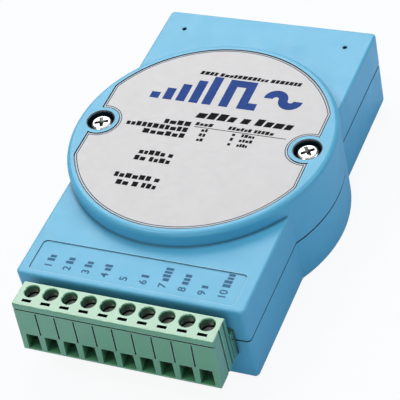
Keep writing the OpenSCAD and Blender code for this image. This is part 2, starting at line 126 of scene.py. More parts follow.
class Shape:
    """A mesh under construction, in millimetres, worked with Blender's modelling operators."""

    def __init__(self, obj: bpy.types.Object) -> None:
        """Take over an object."""
        self.obj = obj

    @classmethod
    def adopt(cls, name: str) -> "Shape":
        """Take over the primitive that was just added, with its place put into its mesh."""
        obj = bpy.context.object
        obj.name = name
        bpy.ops.object.transform_apply(location=True, rotation=True, scale=True)
        return cls(obj)

    @classmethod
    def block(cls, name: str, low: Triple, high: Triple) -> "Shape":
        """Start from a block between two corners.

        Args:
            name: The object's name.
            low: The lowest corner.
            high: The highest corner.

        Returns:
            The block.
        """
        bpy.ops.object.select_all(action="DESELECT")
        middle = [(a + b) / 2 for a, b in zip(low, high)]
        size = [b - a for a, b in zip(low, high)]
        bpy.ops.mesh.primitive_cube_add(size=1.0, location=middle, scale=size)
        return cls.adopt(name)

    @classmethod
    def turned(
        cls, name: str, rings: list[Ring], centre: Ring = (0.0, 0.0), sides: int = 64
    ) -> "Shape":
        """Build a round solid ring on ring, each drawn out of the one before.

        Args:
            name: The object's name.
            rings: Radius and height of each ring. The first two differ in height.
            centre: The upright axis.
            sides: How many sides the rings have.

        Returns:
            The closed solid.
        """
        (radius, start), (next_radius, height), *rest = rings
        bpy.ops.object.select_all(action="DESELECT")
        bpy.ops.mesh.primitive_cone_add(
            vertices=sides,
            radius1=radius,
            radius2=next_radius,
            depth=height - start,
            location=(*centre, (start + height) / 2),
        )
        shape = cls.adopt(name)
        radius = next_radius
        with shape.editing():
            shape.pick(Part.FACE, lambda at, out: out.z > 0.9 and abs(at.z - height) < TINY)
            for wider, higher in rest:
                bpy.ops.mesh.extrude_region_move(
                    TRANSFORM_OT_translate={"value": (0, 0, higher - height)}
                )
                grow = wider / radius
                bpy.ops.transform.resize(
                    value=(grow, grow, 1), center_override=(*centre, higher)
                )
                radius, height = wider, higher
        return shape

    @classmethod
    def joined(cls, name: str, shapes: Iterable["Shape"]) -> "Shape":
        """Join shapes that don't overlap into one mesh.

        Args:
            name: The new object's name.
            shapes: The shapes, which are used up.

        Returns:
            The joined shape.
        """
        objects = [shape.obj for shape in shapes]
        wake(*objects)
        bpy.ops.object.join()
        objects[0].name = name
        return cls(objects[0])

    @contextmanager
    def editing(self) -> Iterator[None]:
        """Edit mode on this mesh."""
        wake(self.obj)
        bpy.ops.object.mode_set(mode="EDIT")
        yield
        bpy.ops.object.mode_set(mode="OBJECT")

    def pick(self, kind: Part, test: Test) -> None:
        """Select the elements that pass a test, in edit mode.

        Args:
            kind: Vertices, edges or faces.
            test: Gets an element's middle, and its normal or an edge's direction.
        """
        bpy.ops.mesh.select_mode(type=kind.value)
        bpy.ops.mesh.select_all(action="DESELECT")
        mesh = bmesh.from_edit_mesh(self.obj.data)
        if kind is Part.FACE:
            found = [f for f in mesh.faces if test(f.calc_center_median(), f.normal)]
        elif kind is Part.VERTEX:
            found = [v for v in mesh.verts if test(v.co, v.normal)]
        else:
            found = []
            for edge in mesh.edges:
                first, last = (v.co for v in edge.verts)
                if test((first + last) / 2, (last - first).normalized()):
                    found.append(edge)
        for element in found:
            element.select_set(True)
        bmesh.update_edit_mesh(self.obj.data)

    def bevel(self, width: float, segments: int, test: Test) -> "Shape":
        """Round the edges that pass a test.

        Args:
            width: How far the rounding reaches from the edge.
            segments: How many faces it has.
            test: Gets an edge's middle and direction.

        Returns:
            This shape.
        """
        with self.editing():
            self.pick(Part.EDGE, test)
            bpy.ops.mesh.bevel(offset=width, segments=segments, affect="EDGES")
        return self

    def bevel_uprights(self, width: float, segments: int) -> "Shape":
        """Round every edge that runs along Z."""
        return self.bevel(width, segments, lambda at, along: abs(along.z) > 0.99)

    def bevel_level(self, height: float, width: float, segments: int) -> "Shape":
        """Round every level edge at a height."""
        return self.bevel(
            width, segments, lambda at, along: abs(at.z - height) < TINY and abs(along.z) < 0.1
        )

    def bevel_all(self, width: float, segments: int) -> "Shape":
        """Round every edge."""
        return self.bevel(width, segments, lambda at, along: True)

    def slide(self, kind: Part, test: Test, step: Triple) -> "Shape":
        """Move the elements that pass a test.

        Args:
            kind: Vertices, edges or faces.
            test: Picks them.
            step: How far they move.

        Returns:
            This shape.
        """
        with self.editing():
            self.pick(kind, test)
            bpy.ops.transform.translate(value=step)
        return self

    def draw_out(self, test: Test, step: Triple, grow: Triple = (1, 1, 1)) -> "Shape":
        """Extrude the faces that pass a test, then scale what was drawn out about its middle.

        Args:
            test: Gets a face's middle and normal.
            step: How far the faces are drawn out.
            grow: How much the new faces grow along each axis.

        Returns:
            This shape.
        """
        with self.editing():
            self.pick(Part.FACE, test)
            bpy.ops.mesh.extrude_region_move(TRANSFORM_OT_translate={"value": step})
            mesh = bmesh.from_edit_mesh(self.obj.data)
            moved = [v.co for v in mesh.verts if v.select]
            middle = sum(moved, Vector()) / len(moved)
            bpy.ops.transform.resize(value=grow, center_override=middle)
        return self

    def _combine(self, other: "Shape", operation: str) -> "Shape":
        """Apply a boolean with a shape that is used up."""
        wake(self.obj)
        modifier = self.obj.modifiers.new(operation.lower(), "BOOLEAN")
        modifier.operation = operation
        modifier.solver = "EXACT"
        modifier.object = other.obj
        bpy.ops.object.modifier_apply(modifier=modifier.name)
        bpy.data.objects.remove(other.obj)
        return self

    def add(self, *others: "Shape") -> "Shape":
        """Unite this shape with others, one after another."""
        for other in others:
            self._combine(other, "UNION")
        return self

    def cut(self, *others: "Shape") -> "Shape":
        """Take others away from this shape, one after another."""
        for other in others:
            self._combine(other, "DIFFERENCE")
        return self

    def copy(self, step: Triple = (0, 0, 0), turn: float = 0.0) -> "Shape":
        """Copy this shape with a mesh of its own.

        Args:
            step: How far the copy moves, after it is turned.
            turn: Degrees that the copy turns about the Z axis through the origin.

        Returns:
            The copy.
        """
        twin = self.obj.copy()
        twin.data = self.obj.data.copy()
        bpy.context.scene.collection.objects.link(twin)
        twin.rotation_euler.z = math.radians(turn)
        twin.location = step
        wake(twin)
        bpy.ops.object.transform_apply(location=True, rotation=True, scale=True)
        return Shape(twin)

    def tip(self, axis: str, degrees: float) -> "Shape":
        """Turn the shape about an axis through the origin."""
        self.obj.rotation_euler = [math.radians(degrees) if a == axis else 0.0 for a in "XYZ"]
        wake(self.obj)
        bpy.ops.object.transform_apply(rotation=True)
        return self

    def finish(self, name: str, smooth: float = 34.0) -> bpy.types.Object:
        """Clean the mesh, bring it to metres and give it smooth rounded edges.

        Args:
            name: The piece's name.
            smooth: Edges that bend less than this many degrees are shaded smooth.

        Returns:
            The finished object, at the origin.
        """
        with self.editing():
            bpy.ops.mesh.select_all(action="SELECT")
            bpy.ops.mesh.remove_doubles(threshold=0.001)
            bpy.ops.mesh.dissolve_degenerate(threshold=0.001)
        self.obj.scale = (MM, MM, MM)
        wake(self.obj)
        bpy.ops.object.transform_apply(scale=True)
        bpy.ops.object.shade_smooth_by_angle(angle=math.radians(smooth))
        modifier = self.obj.modifiers.new("face_weight", "WEIGHTED_NORMAL")
        modifier.keep_sharp = True
        bpy.ops.object.modifier_apply(modifier=modifier.name)
        self.obj.name = name
        self.obj.data.name = name
        return self.obj


# ---------------------------------------------------------------- shader effects


def display(red: int, green: int, blue: int) -> tuple[float, float, float, float]:
    """The linear colour of three display values from 0 to 255."""

    def linear(value: float) -> float:
        """One channel, from display value to light."""
        return value / 12.92 if value < 0.04045 else ((value + 0.055) / 1.055) ** 2.4

    return (linear(red / 255), linear(green / 255), linear(blue / 255), 1.0)


class Wiring:
    """Adds and links the nodes of one material or node group."""

    def __init__(self, tree: bpy.types.NodeTree) -> None:
        """Start from an empty tree."""
        self.tree = tree
        tree.nodes.clear()

    def feed(self, socket: bpy.types.NodeSocket, value: Any) -> None:
        """Link a socket to another, or set its own value."""
        if isinstance(value, bpy.types.NodeSocket):
            self.tree.links.new(value, socket)
        else:
            socket.default_value = value

    def add(self, kind: str, inputs: dict | None = None, **settings: Any) -> bpy.types.Node:
        """Add a node.

        Args:
            kind: The node's type, without its ShaderNode prefix.
            inputs: What each input is fed with, by name or number.
            settings: The node's own properties.

        Returns:
            The node.
        """
        node = self.tree.nodes.new("ShaderNode" + kind)
        for name, value in settings.items():
            setattr(node, name, value)
        for name, value in (inputs or {}).items():
            self.feed(node.inputs[name], value)
        return node

    def math(self, operation: str, *values: Any, clamp: bool = False) -> bpy.types.NodeSocket:
        """The result of a Math node."""
        node = self.add("Math", dict(enumerate(values)), operation=operation, use_clamp=clamp)
        return node.outputs[0]

    def place(self, stretch: Triple = (1, 1, 1)) -> bpy.types.NodeSocket:
        """The point on the object, in millimetres, stretched along each axis."""
        point = self.add("TexCoord").outputs["Object"]
        scale = [value / MM for value in stretch]
        return self.add("Mapping", {"Vector": point, "Scale": scale}).outputs[0]

    def axis(self, name: str) -> bpy.types.NodeSocket:
        """One coordinate of the point on the object, in millimetres."""
        return self.add("SeparateXYZ", {0: self.place()}).outputs[name]

    def noise(
        self, scale: Any, detail: float = 2.0, stretch: Triple = (1, 1, 1)
    ) -> bpy.types.NodeSocket:
        """Noise on the object.

        Args:
            scale: Patches per millimetre.
            detail: How many finer layers it has.
            stretch: How the pattern is drawn out along each axis.

        Returns:
            A value round 0.5.
        """
        inputs = {"Vector": self.place(stretch), "Scale": scale, "Detail": detail}
        return self.add("TexNoise", inputs).outputs[0]

    def spread(self, value: Any, low: Any, high: Any, start: Any, end: Any) -> Any:
        """Map a value from one range to another, held at its ends."""
        inputs = {0: value, 1: low, 2: high, 3: start, 4: end}
        return self.add("MapRange", inputs).outputs[0]

    def blend(self, amount: Any, first: Any, second: Any) -> bpy.types.NodeSocket:
        """Mix two colours."""
        node = self.add("Mix", {0: amount, 6: first, 7: second}, data_type="RGBA")
        return node.outputs[2]

    def effect(self, group: bpy.types.NodeTree, **inputs: Any) -> bpy.types.Node:
        """Place a node group and feed its inputs by name."""
        node = self.add("Group", node_tree=group)
        for name, value in inputs.items():
            self.feed(node.inputs[name], value)
        return node


class Effects:
    """The shader node groups that several finishes share, each built once."""

    _SOCKETS = {float: "NodeSocketFloat", tuple: "NodeSocketColor"}

    @classmethod
    def _open(cls, name: str, inputs: dict[str, Any], outputs: dict[str, Any]) -> tuple:
        """Make an empty group.

        Args:
            name: The group's name.
            inputs: Each input's name and first value.
            outputs: Each output's name and a value of its type.

        Returns:
            The group's wiring, its input node and its output node.
        """
        tree = bpy.data.node_groups.new(name, "ShaderNodeTree")
        wiring = Wiring(tree)
        for label, value in inputs.items():
            kind = cls._SOCKETS[type(value)]
            socket = tree.interface.new_socket(label, in_out="INPUT", socket_type=kind)
            socket.default_value = value
        for label, value in outputs.items():
            kind = cls._SOCKETS[type(value)]
            tree.interface.new_socket(label, in_out="OUTPUT", socket_type=kind)
        return wiring, tree.nodes.new("NodeGroupInput"), tree.nodes.new("NodeGroupOutput")

    @classmethod
    def moulded_tone(cls) -> bpy.types.NodeTree:
        """A colour that wanders a little from place to place, as in moulded plastic."""
        if "moulded_tone" in bpy.data.node_groups:
            return bpy.data.node_groups["moulded_tone"]
        inputs = {"Colour": (1.0, 1.0, 1.0, 1.0), "Patches": 0.1, "Amount": 0.05}
        w, given, made = cls._open("moulded_tone", inputs, {"Colour": (0.0,)})
        broad = w.noise(given.outputs["Patches"], 2.0)
        fine = w.noise(w.math("MULTIPLY", given.outputs["Patches"], 9.0), 1.0)
        both = w.math("ADD", w.math("MULTIPLY", broad, 0.7), w.math("MULTIPLY", fine, 0.3))
        low = w.math("SUBTRACT", 1.0, given.outputs["Amount"])
        high = w.math("ADD", 1.0, given.outputs["Amount"])
        value = w.spread(both, 0.3, 0.7, low, high)
        toned = w.add("HueSaturation", {"Value": value, "Color": given.outputs["Colour"]})
        w.feed(made.inputs["Colour"], toned.outputs[0])
        return w.tree

    @classmethod
    def fine_grain(cls) -> bpy.types.NodeTree:
        """The even spark-eroded grain of a mould, as a height."""
        if "fine_grain" in bpy.data.node_groups:
            return bpy.data.node_groups["fine_grain"]
        w, given, made = cls._open("fine_grain", {"Grains": 5.0}, {"Height": 0.0})
        cells = w.add("TexVoronoi", {"Vector": w.place(), "Scale": given.outputs["Grains"]})
        soft = w.noise(w.math("MULTIPLY", given.outputs["Grains"], 0.45), 3.0)
        height = w.math("ADD", w.math("MULTIPLY", cells.outputs[0], 0.5), soft)
        w.feed(made.inputs["Height"], height)
        return w.tree

    @classmethod
    def worn_edge(cls) -> bpy.types.NodeTree:
        """Where the surface turns sharply outwards or inwards within a radius: the mask of a painted
        highlight along edges.
        """
        if "worn_edge" in bpy.data.node_groups:
            return bpy.data.node_groups["worn_edge"]
        inputs = {"Radius": 0.3, "Gain": 3.0}
        w, given, made = cls._open("worn_edge", inputs, {"Mask": 0.0})
        radius = w.math("MULTIPLY", given.outputs["Radius"], MM)
        round_normal = w.add("Bevel", {"Radius": radius}, samples=4).outputs[0]
        flat_normal = w.add("NewGeometry").outputs["Normal"]
        dot = w.add("VectorMath", {0: round_normal, 1: flat_normal}, operation="DOT_PRODUCT")
        bend = w.math("SUBTRACT", 1.0, dot.outputs["Value"])
        broken = w.spread(w.noise(1.3, 3.0), 0.35, 0.65, 0.55, 1.0)
        mask = w.math("MULTIPLY", w.math("MULTIPLY", bend, given.outputs["Gain"]), broken)
        w.feed(made.inputs["Mask"], w.math("MINIMUM", mask, 1.0))
        return w.tree

    @classmethod
    def deep_recess(cls) -> bpy.types.NodeTree:
        """How far the surface lies down in a bore, slot or narrow joint: the mask of painted shade in
        recesses and creases.
        """
        if "deep_recess" in bpy.data.node_groups:
            return bpy.data.node_groups["deep_recess"]
        w, given, made = cls._open("deep_recess", {"Reach": 1.2}, {"Mask": 0.0})
        reach = w.math("MULTIPLY", given.outputs["Reach"], MM)
        open_share = w.add("AmbientOcclusion", {"Distance": reach}, samples=8).outputs["AO"]
        w.feed(made.inputs["Mask"], w.spread(open_share, 0.25, 0.88, 1.0, 0.0))
        return w.tree

    @classmethod
    def settled_dust(cls) -> bpy.types.NodeTree:
        """Patches of thin dust on what faces up."""
        if "settled_dust" in bpy.data.node_groups:
            return bpy.data.node_groups["settled_dust"]
        w, given, made = cls._open("settled_dust", {"Patches": 0.15}, {"Mask": 0.0})
        normal = w.add("NewGeometry").outputs["Normal"]
        up = w.add("SeparateXYZ", {0: normal}).outputs["Z"]
        facing = w.spread(up, 0.5, 0.95, 0.0, 1.0)
        patches = w.spread(w.noise(given.outputs["Patches"], 5.0), 0.4, 0.7, 0.0, 1.0)
        specks = w.spread(w.noise(4.0, 2.0), 0.55, 0.75, 0.2, 1.0)
        mask = w.math("MULTIPLY", facing, w.math("MULTIPLY", patches, specks))
        w.feed(made.inputs["Mask"], mask)
        return w.tree

    @classmethod
    def tool_marks(cls) -> bpy.types.NodeTree:
        """Fine lines drawn out along the axis of a turned or rolled metal, as a height."""
        if "tool_marks" in bpy.data.node_groups:
            return bpy.data.node_groups["tool_marks"]
        w, given, made = cls._open("tool_marks", {"Lines": 4.0}, {"Height": 0.0})
        lines = w.noise(given.outputs["Lines"], 4.0, (1.0, 0.12, 3.0))
        pits = w.noise(w.math("MULTIPLY", given.outputs["Lines"], 2.5), 2.0)
        height = w.math("ADD", lines, w.math("MULTIPLY", pits, 0.4))
        w.feed(made.inputs["Height"], height)
        return w.tree


# ---------------------------------------------------------------- finishes


@dataclass(frozen=True)
class Finish:
    """A surface finish: a colour that wanders, a gloss that varies and a fine relief.

    Lengths are in millimetres, and colours are display values from 0 to 255.
    """

    name: str
    colour: tuple[int, int, int]
    roughness: float
    metallic: float = 0.0
    tone: float = 0.05
    patch: float = 9.0
    grain: float = 0.2
    relief: float = 0.004
    # Light colour of a painted highlight along edges, if any.
    edge_tint: tuple[int, int, int] | None = None
    edge_radius: float = 0.35
    dust: float = 0.0
    coat: float = 0.0
    specular: float = 0.5
    # Colour of painted shade in recesses, creases and narrow joints, if any.
    recess: tuple[int, int, int] | None = None
    recess_reach: float = 1.6

    def paint(self, w: Wiring) -> Any:
        """The colour before wear and dust.

        Args:
            w: The material's wiring.

        Returns:
            A socket with the colour.
        """
        return self.wander(w, self.colour)

    def wander(self, w: Wiring, colour: tuple[int, int, int]) -> Any:
        """A colour that varies as this finish does."""
        group = Effects.moulded_tone()
        return w.effect(
            group, Colour=display(*colour), Patches=1 / self.patch, Amount=self.tone
        ).outputs["Colour"]

    def relief_height(self, w: Wiring) -> Any:
        """The height of the fine relief."""
        group = Effects.tool_marks() if self.metallic > 0.5 else Effects.fine_grain()
        name = "Lines" if self.metallic > 0.5 else "Grains"
        return w.effect(group, **{name: 1 / self.grain}).outputs["Height"]

    def shine(self, w: Wiring) -> Any:
        """How rough the surface is, from place to place."""
        low, high = self.roughness * 0.85, min(1.0, self.roughness * 1.15)
        return w.spread(w.noise(1 / self.patch * 3, 4.0), 0.3, 0.7, low, high)

    def metal(self, w: Wiring) -> Any:
        """How metallic the surface is."""
        return self.metallic

    def material(self) -> bpy.types.Material:
        """The material of this finish, built once.

        Returns:
            The material.
        """
        found = bpy.data.materials.get(self.name)
        if found is not None:
            return found
        material = bpy.data.materials.new(self.name)
        material.use_nodes = True
        w = Wiring(material.node_tree)
        colour = self.paint(w)
        # Painted highlight: a lighter colour along the edges.
        if self.edge_tint is not None:
            edge = w.effect(Effects.worn_edge(), Radius=self.edge_radius, Gain=2.5)
            colour = w.blend(edge.outputs["Mask"], colour, display(*self.edge_tint))
        # Painted shade: a darker colour where the surface lies in a recess.
        if self.recess is not None:
            deep = w.effect(Effects.deep_recess(), Reach=self.recess_reach)
            colour = w.blend(deep.outputs["Mask"], colour, display(*self.recess))
        roughness = self.shine(w)
        if self.dust > 0:
            dust = w.effect(Effects.settled_dust(), Patches=0.15).outputs["Mask"]
            share = w.math("MULTIPLY", dust, self.dust)
            colour = w.blend(share, colour, display(196, 192, 184))
            roughness = w.math("ADD", roughness, w.math("MULTIPLY", share, 0.4), clamp=True)
        bump = w.add(
            "Bump",
            {"Height": self.relief_height(w), "Distance": self.relief * MM, "Strength": 1.0},
        )
        shader = w.add(
            "BsdfPrincipled",
            {
                "Base Color": colour,
                "Roughness": roughness,
                "Metallic": self.metal(w),
                "Normal": bump.outputs[0],
                "Specular IOR Level": self.specular,
                "Coat Weight": self.coat,
                "Coat Roughness": 0.12,
            },
        )
        output = w.add("OutputMaterial")
        w.feed(output.inputs["Surface"], shader.outputs[0])
        return material

    def dress(self, obj: bpy.types.Object) -> None:
        """Put this finish on every material slot of an object."""
        material = self.material()
        if not obj.data.materials:
            obj.data.materials.append(material)
        for slot in obj.material_slots:
            slot.material = material


@dataclass(frozen=True)
class BoredFinish(Finish):
    """A moulding with painted shade in its two upright screw bores: black within a radius of each axis.
    """

    bore_x: float = 28.55
    bore_r: float = 3.77
    bore_floor: float = 19.0
    rim_fade: float = 0.13
    floor_fade: float = 0.2
    # Colour of the painted shade in the bores.
    grime: tuple[int, int, int] = (12, 14, 16)

    def paint(self, w: Wiring) -> Any:
        """The moulding's colour, with painted shade round both axes."""
        across = w.math("SUBTRACT", w.math("ABSOLUTE", w.axis("X")), self.bore_x)
        along = w.axis("Y")
        squares = (w.math("MULTIPLY", across, across), w.math("MULTIPLY", along, along))
        radius = w.math("SQRT", w.math("ADD", *squares))
        near = w.spread(radius, self.bore_r, self.bore_r + self.rim_fade, 1.0, 0.0)
        above = w.spread(w.axis("Z"), self.bore_floor - self.floor_fade, self.bore_floor, 0.0, 1.0)
        return w.blend(w.math("MULTIPLY", near, above), super().paint(w), display(*self.grime))


@dataclass(frozen=True)
class LeggedFinish(Finish):
    """A component's body colour above a height, and bright tinned legs below it."""

    leg_top: float = 9.1
    leg_colour: tuple[int, int, int] = (205, 205, 200)

    def _is_body(self, w: Wiring) -> Any:
        """1 on the body and 0 on the legs."""
        return w.spread(w.axis("Z"), self.leg_top - 0.02, self.leg_top + 0.02, 0.0, 1.0)

    def paint(self, w: Wiring) -> Any:
        """Body and leg colours."""
        body, legs = self.wander(w, self.colour), self.wander(w, self.leg_colour)
        return w.blend(self._is_body(w), legs, body)

    def metal(self, w: Wiring) -> Any:
        """Metal on the legs only."""
        return w.math("SUBTRACT", 1.0, self._is_body(w))


@dataclass(frozen=True)
class CappedFinish(LeggedFinish):
    """A capacitor's printed sleeve, with its bare aluminium top and tinned legs."""

    stripe: tuple[int, int, int] = (190, 196, 205)

    def paint(self, w: Wiring) -> Any:
        """Sleeve colour with a pale polarity stripe on one side."""
        normal = w.add("NewGeometry").outputs["Normal"]
        facing = w.add("SeparateXYZ", {0: normal}).outputs["X"]
        striped = w.spread(facing, 0.86, 0.88, 0.0, 1.0)
        body = w.blend(striped, self.wander(w, self.colour), self.wander(w, self.stripe))
        up = w.add("SeparateXYZ", {0: normal}).outputs["Z"]
        return w.blend(w.spread(up, 0.8, 0.85, 0.0, 1.0), body, self.wander(w, (200, 200, 202)))


@dataclass(frozen=True)
class BandedFinish(LeggedFinish):
    """A round body with coloured bands across Y, and tinned leads."""

    bands: float = 1.15
    band_colour: tuple[int, int, int] = (96, 52, 30)

    def paint(self, w: Wiring) -> Any:
        """Body with bands, over the leads."""
        wave = w.math("SINE", w.math("MULTIPLY", w.axis("Y"), math.tau / self.bands))
        band = w.spread(wave, 0.55, 0.6, 0.0, 1.0)
        body = w.blend(band, self.wander(w, self.colour), self.wander(w, self.band_colour))
        legs = self.wander(w, self.leg_colour)
        return w.blend(self._is_body(w), legs, body)


@dataclass(frozen=True)
class WoundFinish(Finish):
    """Layers of tape or wire wound round a core, seen as lines along Z."""

    turn: float = 0.45

    def relief_height(self, w: Wiring) -> Any:
        """One ridge for each turn."""
        inputs = {"Vector": w.place((0, 0, 1 / self.turn)), "Scale": 1.0, "Distortion": 0.4}
        return w.add("TexWave", inputs, bands_direction="Z").outputs[1]


@dataclass(frozen=True)
class LaminateFinish(Finish):
    """A circuit board: solder mask over copper tracks that run in both directions."""

    track: tuple[int, int, int] = (28, 108, 62)
    pitch: float = 2.54

    def _tracks(self, w: Wiring) -> Any:
        """1 where a track lies under the mask."""
        cells = w.add(
            "TexBrick",
            {
                "Vector": w.place((1 / self.pitch, 1 / self.pitch, 0)),
                "Color1": (0, 0, 0, 1),
                "Color2": (0, 0, 0, 1),
                "Mortar": (1, 1, 1, 1),
                "Scale": 1.0,
                "Mortar Size": 0.07,
                "Brick Width": 3.0,
                "Row Height": 1.0,
            },
        ).outputs[0]
        broken = w.spread(w.noise(0.22, 1.0), 0.46, 0.48, 0.0, 1.0)
        return w.math("MULTIPLY", cells, broken)

    def paint(self, w: Wiring) -> Any:
        """Mask colour, lighter over the tracks."""
        ground, track = self.wander(w, self.colour), self.wander(w, self.track)
        return w.blend(self._tracks(w), ground, track)

    def relief_height(self, w: Wiring) -> Any:
        """The tracks stand a little proud."""
        return self._tracks(w)


# Light blue moulding, with a painted highlight along its edges, painted shade in its creases and
# recesses, and painted shade in its two screw bores.
CASE_PLASTIC = BoredFinish(
    "case_plastic_light_blue",
    (92, 178, 212),
    0.36,
    tone=0.035,
    patch=14.0,
    grain=0.16,
    relief=0.005,
    edge_tint=(204, 238, 248),
    edge_radius=0.35,
    dust=0.05,
    recess=(8, 34, 52),
    recess_reach=1.3,
)
LABEL_FILM = Finish(
    "label_film_grey_white", (206, 200, 198), 0.4, tone=0.02, patch=5.0, grain=0.4, relief=0.002
)
RATING_FILM = Finish(
    "rating_film_silver", (190, 192, 194), 0.35, tone=0.03, patch=4.0, grain=0.3, relief=0.002
)
BLACK_INK = Finish(
    "label_ink_black", (14, 14, 16), 0.75, tone=0.15, patch=1.5, relief=0.001, specular=0.12
)
BLUE_INK = Finish(
    "label_ink_deep_blue", (44, 72, 138), 0.7, tone=0.16, patch=2.0, relief=0.001, specular=0.12
)
# Blue-grey ink for the painted shade of the gap round the face label.
GAP_SHADE_INK = Finish(
    "gap_shade_ink_blue_grey", (44, 82, 108), 0.7, tone=0.15, patch=2.0, relief=0.001, specular=0.12
)
PIN_INK = Finish(
    "pin_ink_slate", (52, 100, 138), 0.6, tone=0.15, patch=1.0, relief=0.001, specular=0.3
)
# Nickelled screw, with painted shade in its cross recess and round its head.
NICKEL = Finish(
    "screw_nickel",
    (206, 206, 202),
    0.24,
    1.0,
    tone=0.08,
    patch=1.2,
    grain=0.3,
    relief=0.008,
    recess=(6, 6, 8),
    recess_reach=0.9,
)
ZINC = Finish(
    "screw_zinc", (176, 180, 178), 0.32, 1.0, tone=0.1, patch=2.0, grain=0.3, relief=0.008
)
# Zinc-plated clamp screw, with painted shade in its slot and round its head.
CLAMP_STEEL = Finish(
    "clamp_screw_zinc",
    (196, 198, 186),
    0.42,
    1.0,
    tone=0.14,
    patch=0.8,
    grain=0.2,
    relief=0.01,
    recess=(12, 14, 10),
    recess_reach=0.5,
)
CAGE_BRASS = Finish(
    "cage_nickelled_brass", (196, 188, 160), 0.3, 1.0, tone=0.08, patch=1.5, grain=0.2, relief=0.008
)
# Green moulding, with a painted highlight along its edges and painted shade in its wells, slots and wire
# entries.
TERMINAL_PLASTIC = Finish(
    "terminal_plastic_green",
    (88, 158, 110),
    0.2,
    tone=0.05,
    patch=5.0,
    grain=0.12,
    relief=0.004,
    edge_tint=(214, 242, 228),
    edge_radius=0.25,
    dust=0.03,
    specular=0.9,
    coat=1.0,
    recess=(5, 17, 9),
    recess_reach=3.5,
)
RING_NYLON = Finish("ring_nylon", (224, 222, 208), 0.45, tone=0.03, patch=2.0)
CONTACT_METAL = Finish(
    "contact_tinned_bronze", (198, 178, 140), 0.3, 1.0, tone=0.08, patch=1.0, relief=0.006
)
PIN_METAL = Finish("pin_gilt", (212, 176, 96), 0.22, 1.0, tone=0.06, patch=1.0, relief=0.004)
BOARD_LAMINATE = LaminateFinish(
    "board_solder_mask", (16, 78, 44), 0.3, tone=0.06, patch=4.0, relief=0.03, coat=0.3
)
FERRITE = Finish("ferrite_core", (52, 50, 52), 0.55, tone=0.1, patch=1.0, relief=0.02)
WINDING_TAPE = WoundFinish(
    "winding_tape_amber", (206, 146, 50), 0.3, tone=0.06, patch=2.0, relief=0.04, coat=0.4
)
CHOKE_SLEEVE = WoundFinish(
    "choke_sleeve_black", (26, 26, 28), 0.35, tone=0.05, patch=2.0, relief=0.05
)
CAPACITOR_SLEEVE = CappedFinish(
    "capacitor_sleeve_navy", (22, 30, 74), 0.25, tone=0.04, patch=3.0, leg_top=8.6
)
DIODE_EPOXY = LeggedFinish(
    "diode_epoxy_black", (30, 30, 32), 0.4, tone=0.06, patch=1.0, leg_top=8.65
)
CHIP_EPOXY = LeggedFinish("chip_epoxy_black", (34, 35, 38), 0.55, tone=0.06, patch=1.0)
CONTROLLER_EPOXY = Finish(
    "controller_epoxy_black", (30, 31, 34), 0.5, tone=0.05, patch=1.2, relief=0.008
)
SOCKET_PLASTIC = Finish("socket_plastic_brown", (92, 60, 44), 0.5, tone=0.05, patch=1.5)
CRYSTAL_CAN = LeggedFinish(
    "crystal_can_nickel", (206, 206, 202), 0.22, tone=0.04, patch=2.0, leg_top=8.9
)
OPTOCOUPLER_EPOXY = LeggedFinish(
    "optocoupler_epoxy_white", (222, 220, 212), 0.5, tone=0.03, patch=1.0
)
VARISTOR_COATING = LeggedFinish(
    "varistor_coating_blue", (34, 78, 160), 0.4, tone=0.06, patch=1.0, leg_top=9.6
)
RESISTOR_COATING = BandedFinish(
    "resistor_coating_tan", (204, 176, 128), 0.4, tone=0.04, patch=1.0, leg_top=8.72
)
CERAMIC_COATING = LeggedFinish(
    "ceramic_coating_ochre", (190, 128, 54), 0.45, tone=0.06, patch=0.8, leg_top=9.5
)


def settle(
    obj: bpy.types.Object, body: str, finish: Finish, replaces: Iterable[str] = ()
) -> bpy.types.Object:
    """Dress a new piece and tie it to the frame.

    Args:
        obj: The finished piece.
        body: The CAD body that it rides on.
        finish: What its surface is.
        replaces: The CAD nodes that it stands for.

    Returns:
        The piece.
    """
    finish.dress(obj)
    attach(obj, body)
    if replaces:
        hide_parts(*replaces)
    LOG.info("%s rides on %s, %d faces", obj.name, body, len(obj.data.polygons))
    return obj


def repeat(pattern: Shape, places: Iterable[Ring], name: str) -> Shape:
    """Use a pattern up as one shape with a copy at each place.

    Args:
        pattern: The shape, made on the Z axis.
        places: Where the copies go.
        name: The joined shape's name.

    Returns:
        The joined shape.
    """
    copies = [pattern.copy((*place, 0)) for place in places]
    bpy.data.objects.remove(pattern.obj)
    return Shape.joined(name, copies)


# ---------------------------------------------------------------- case


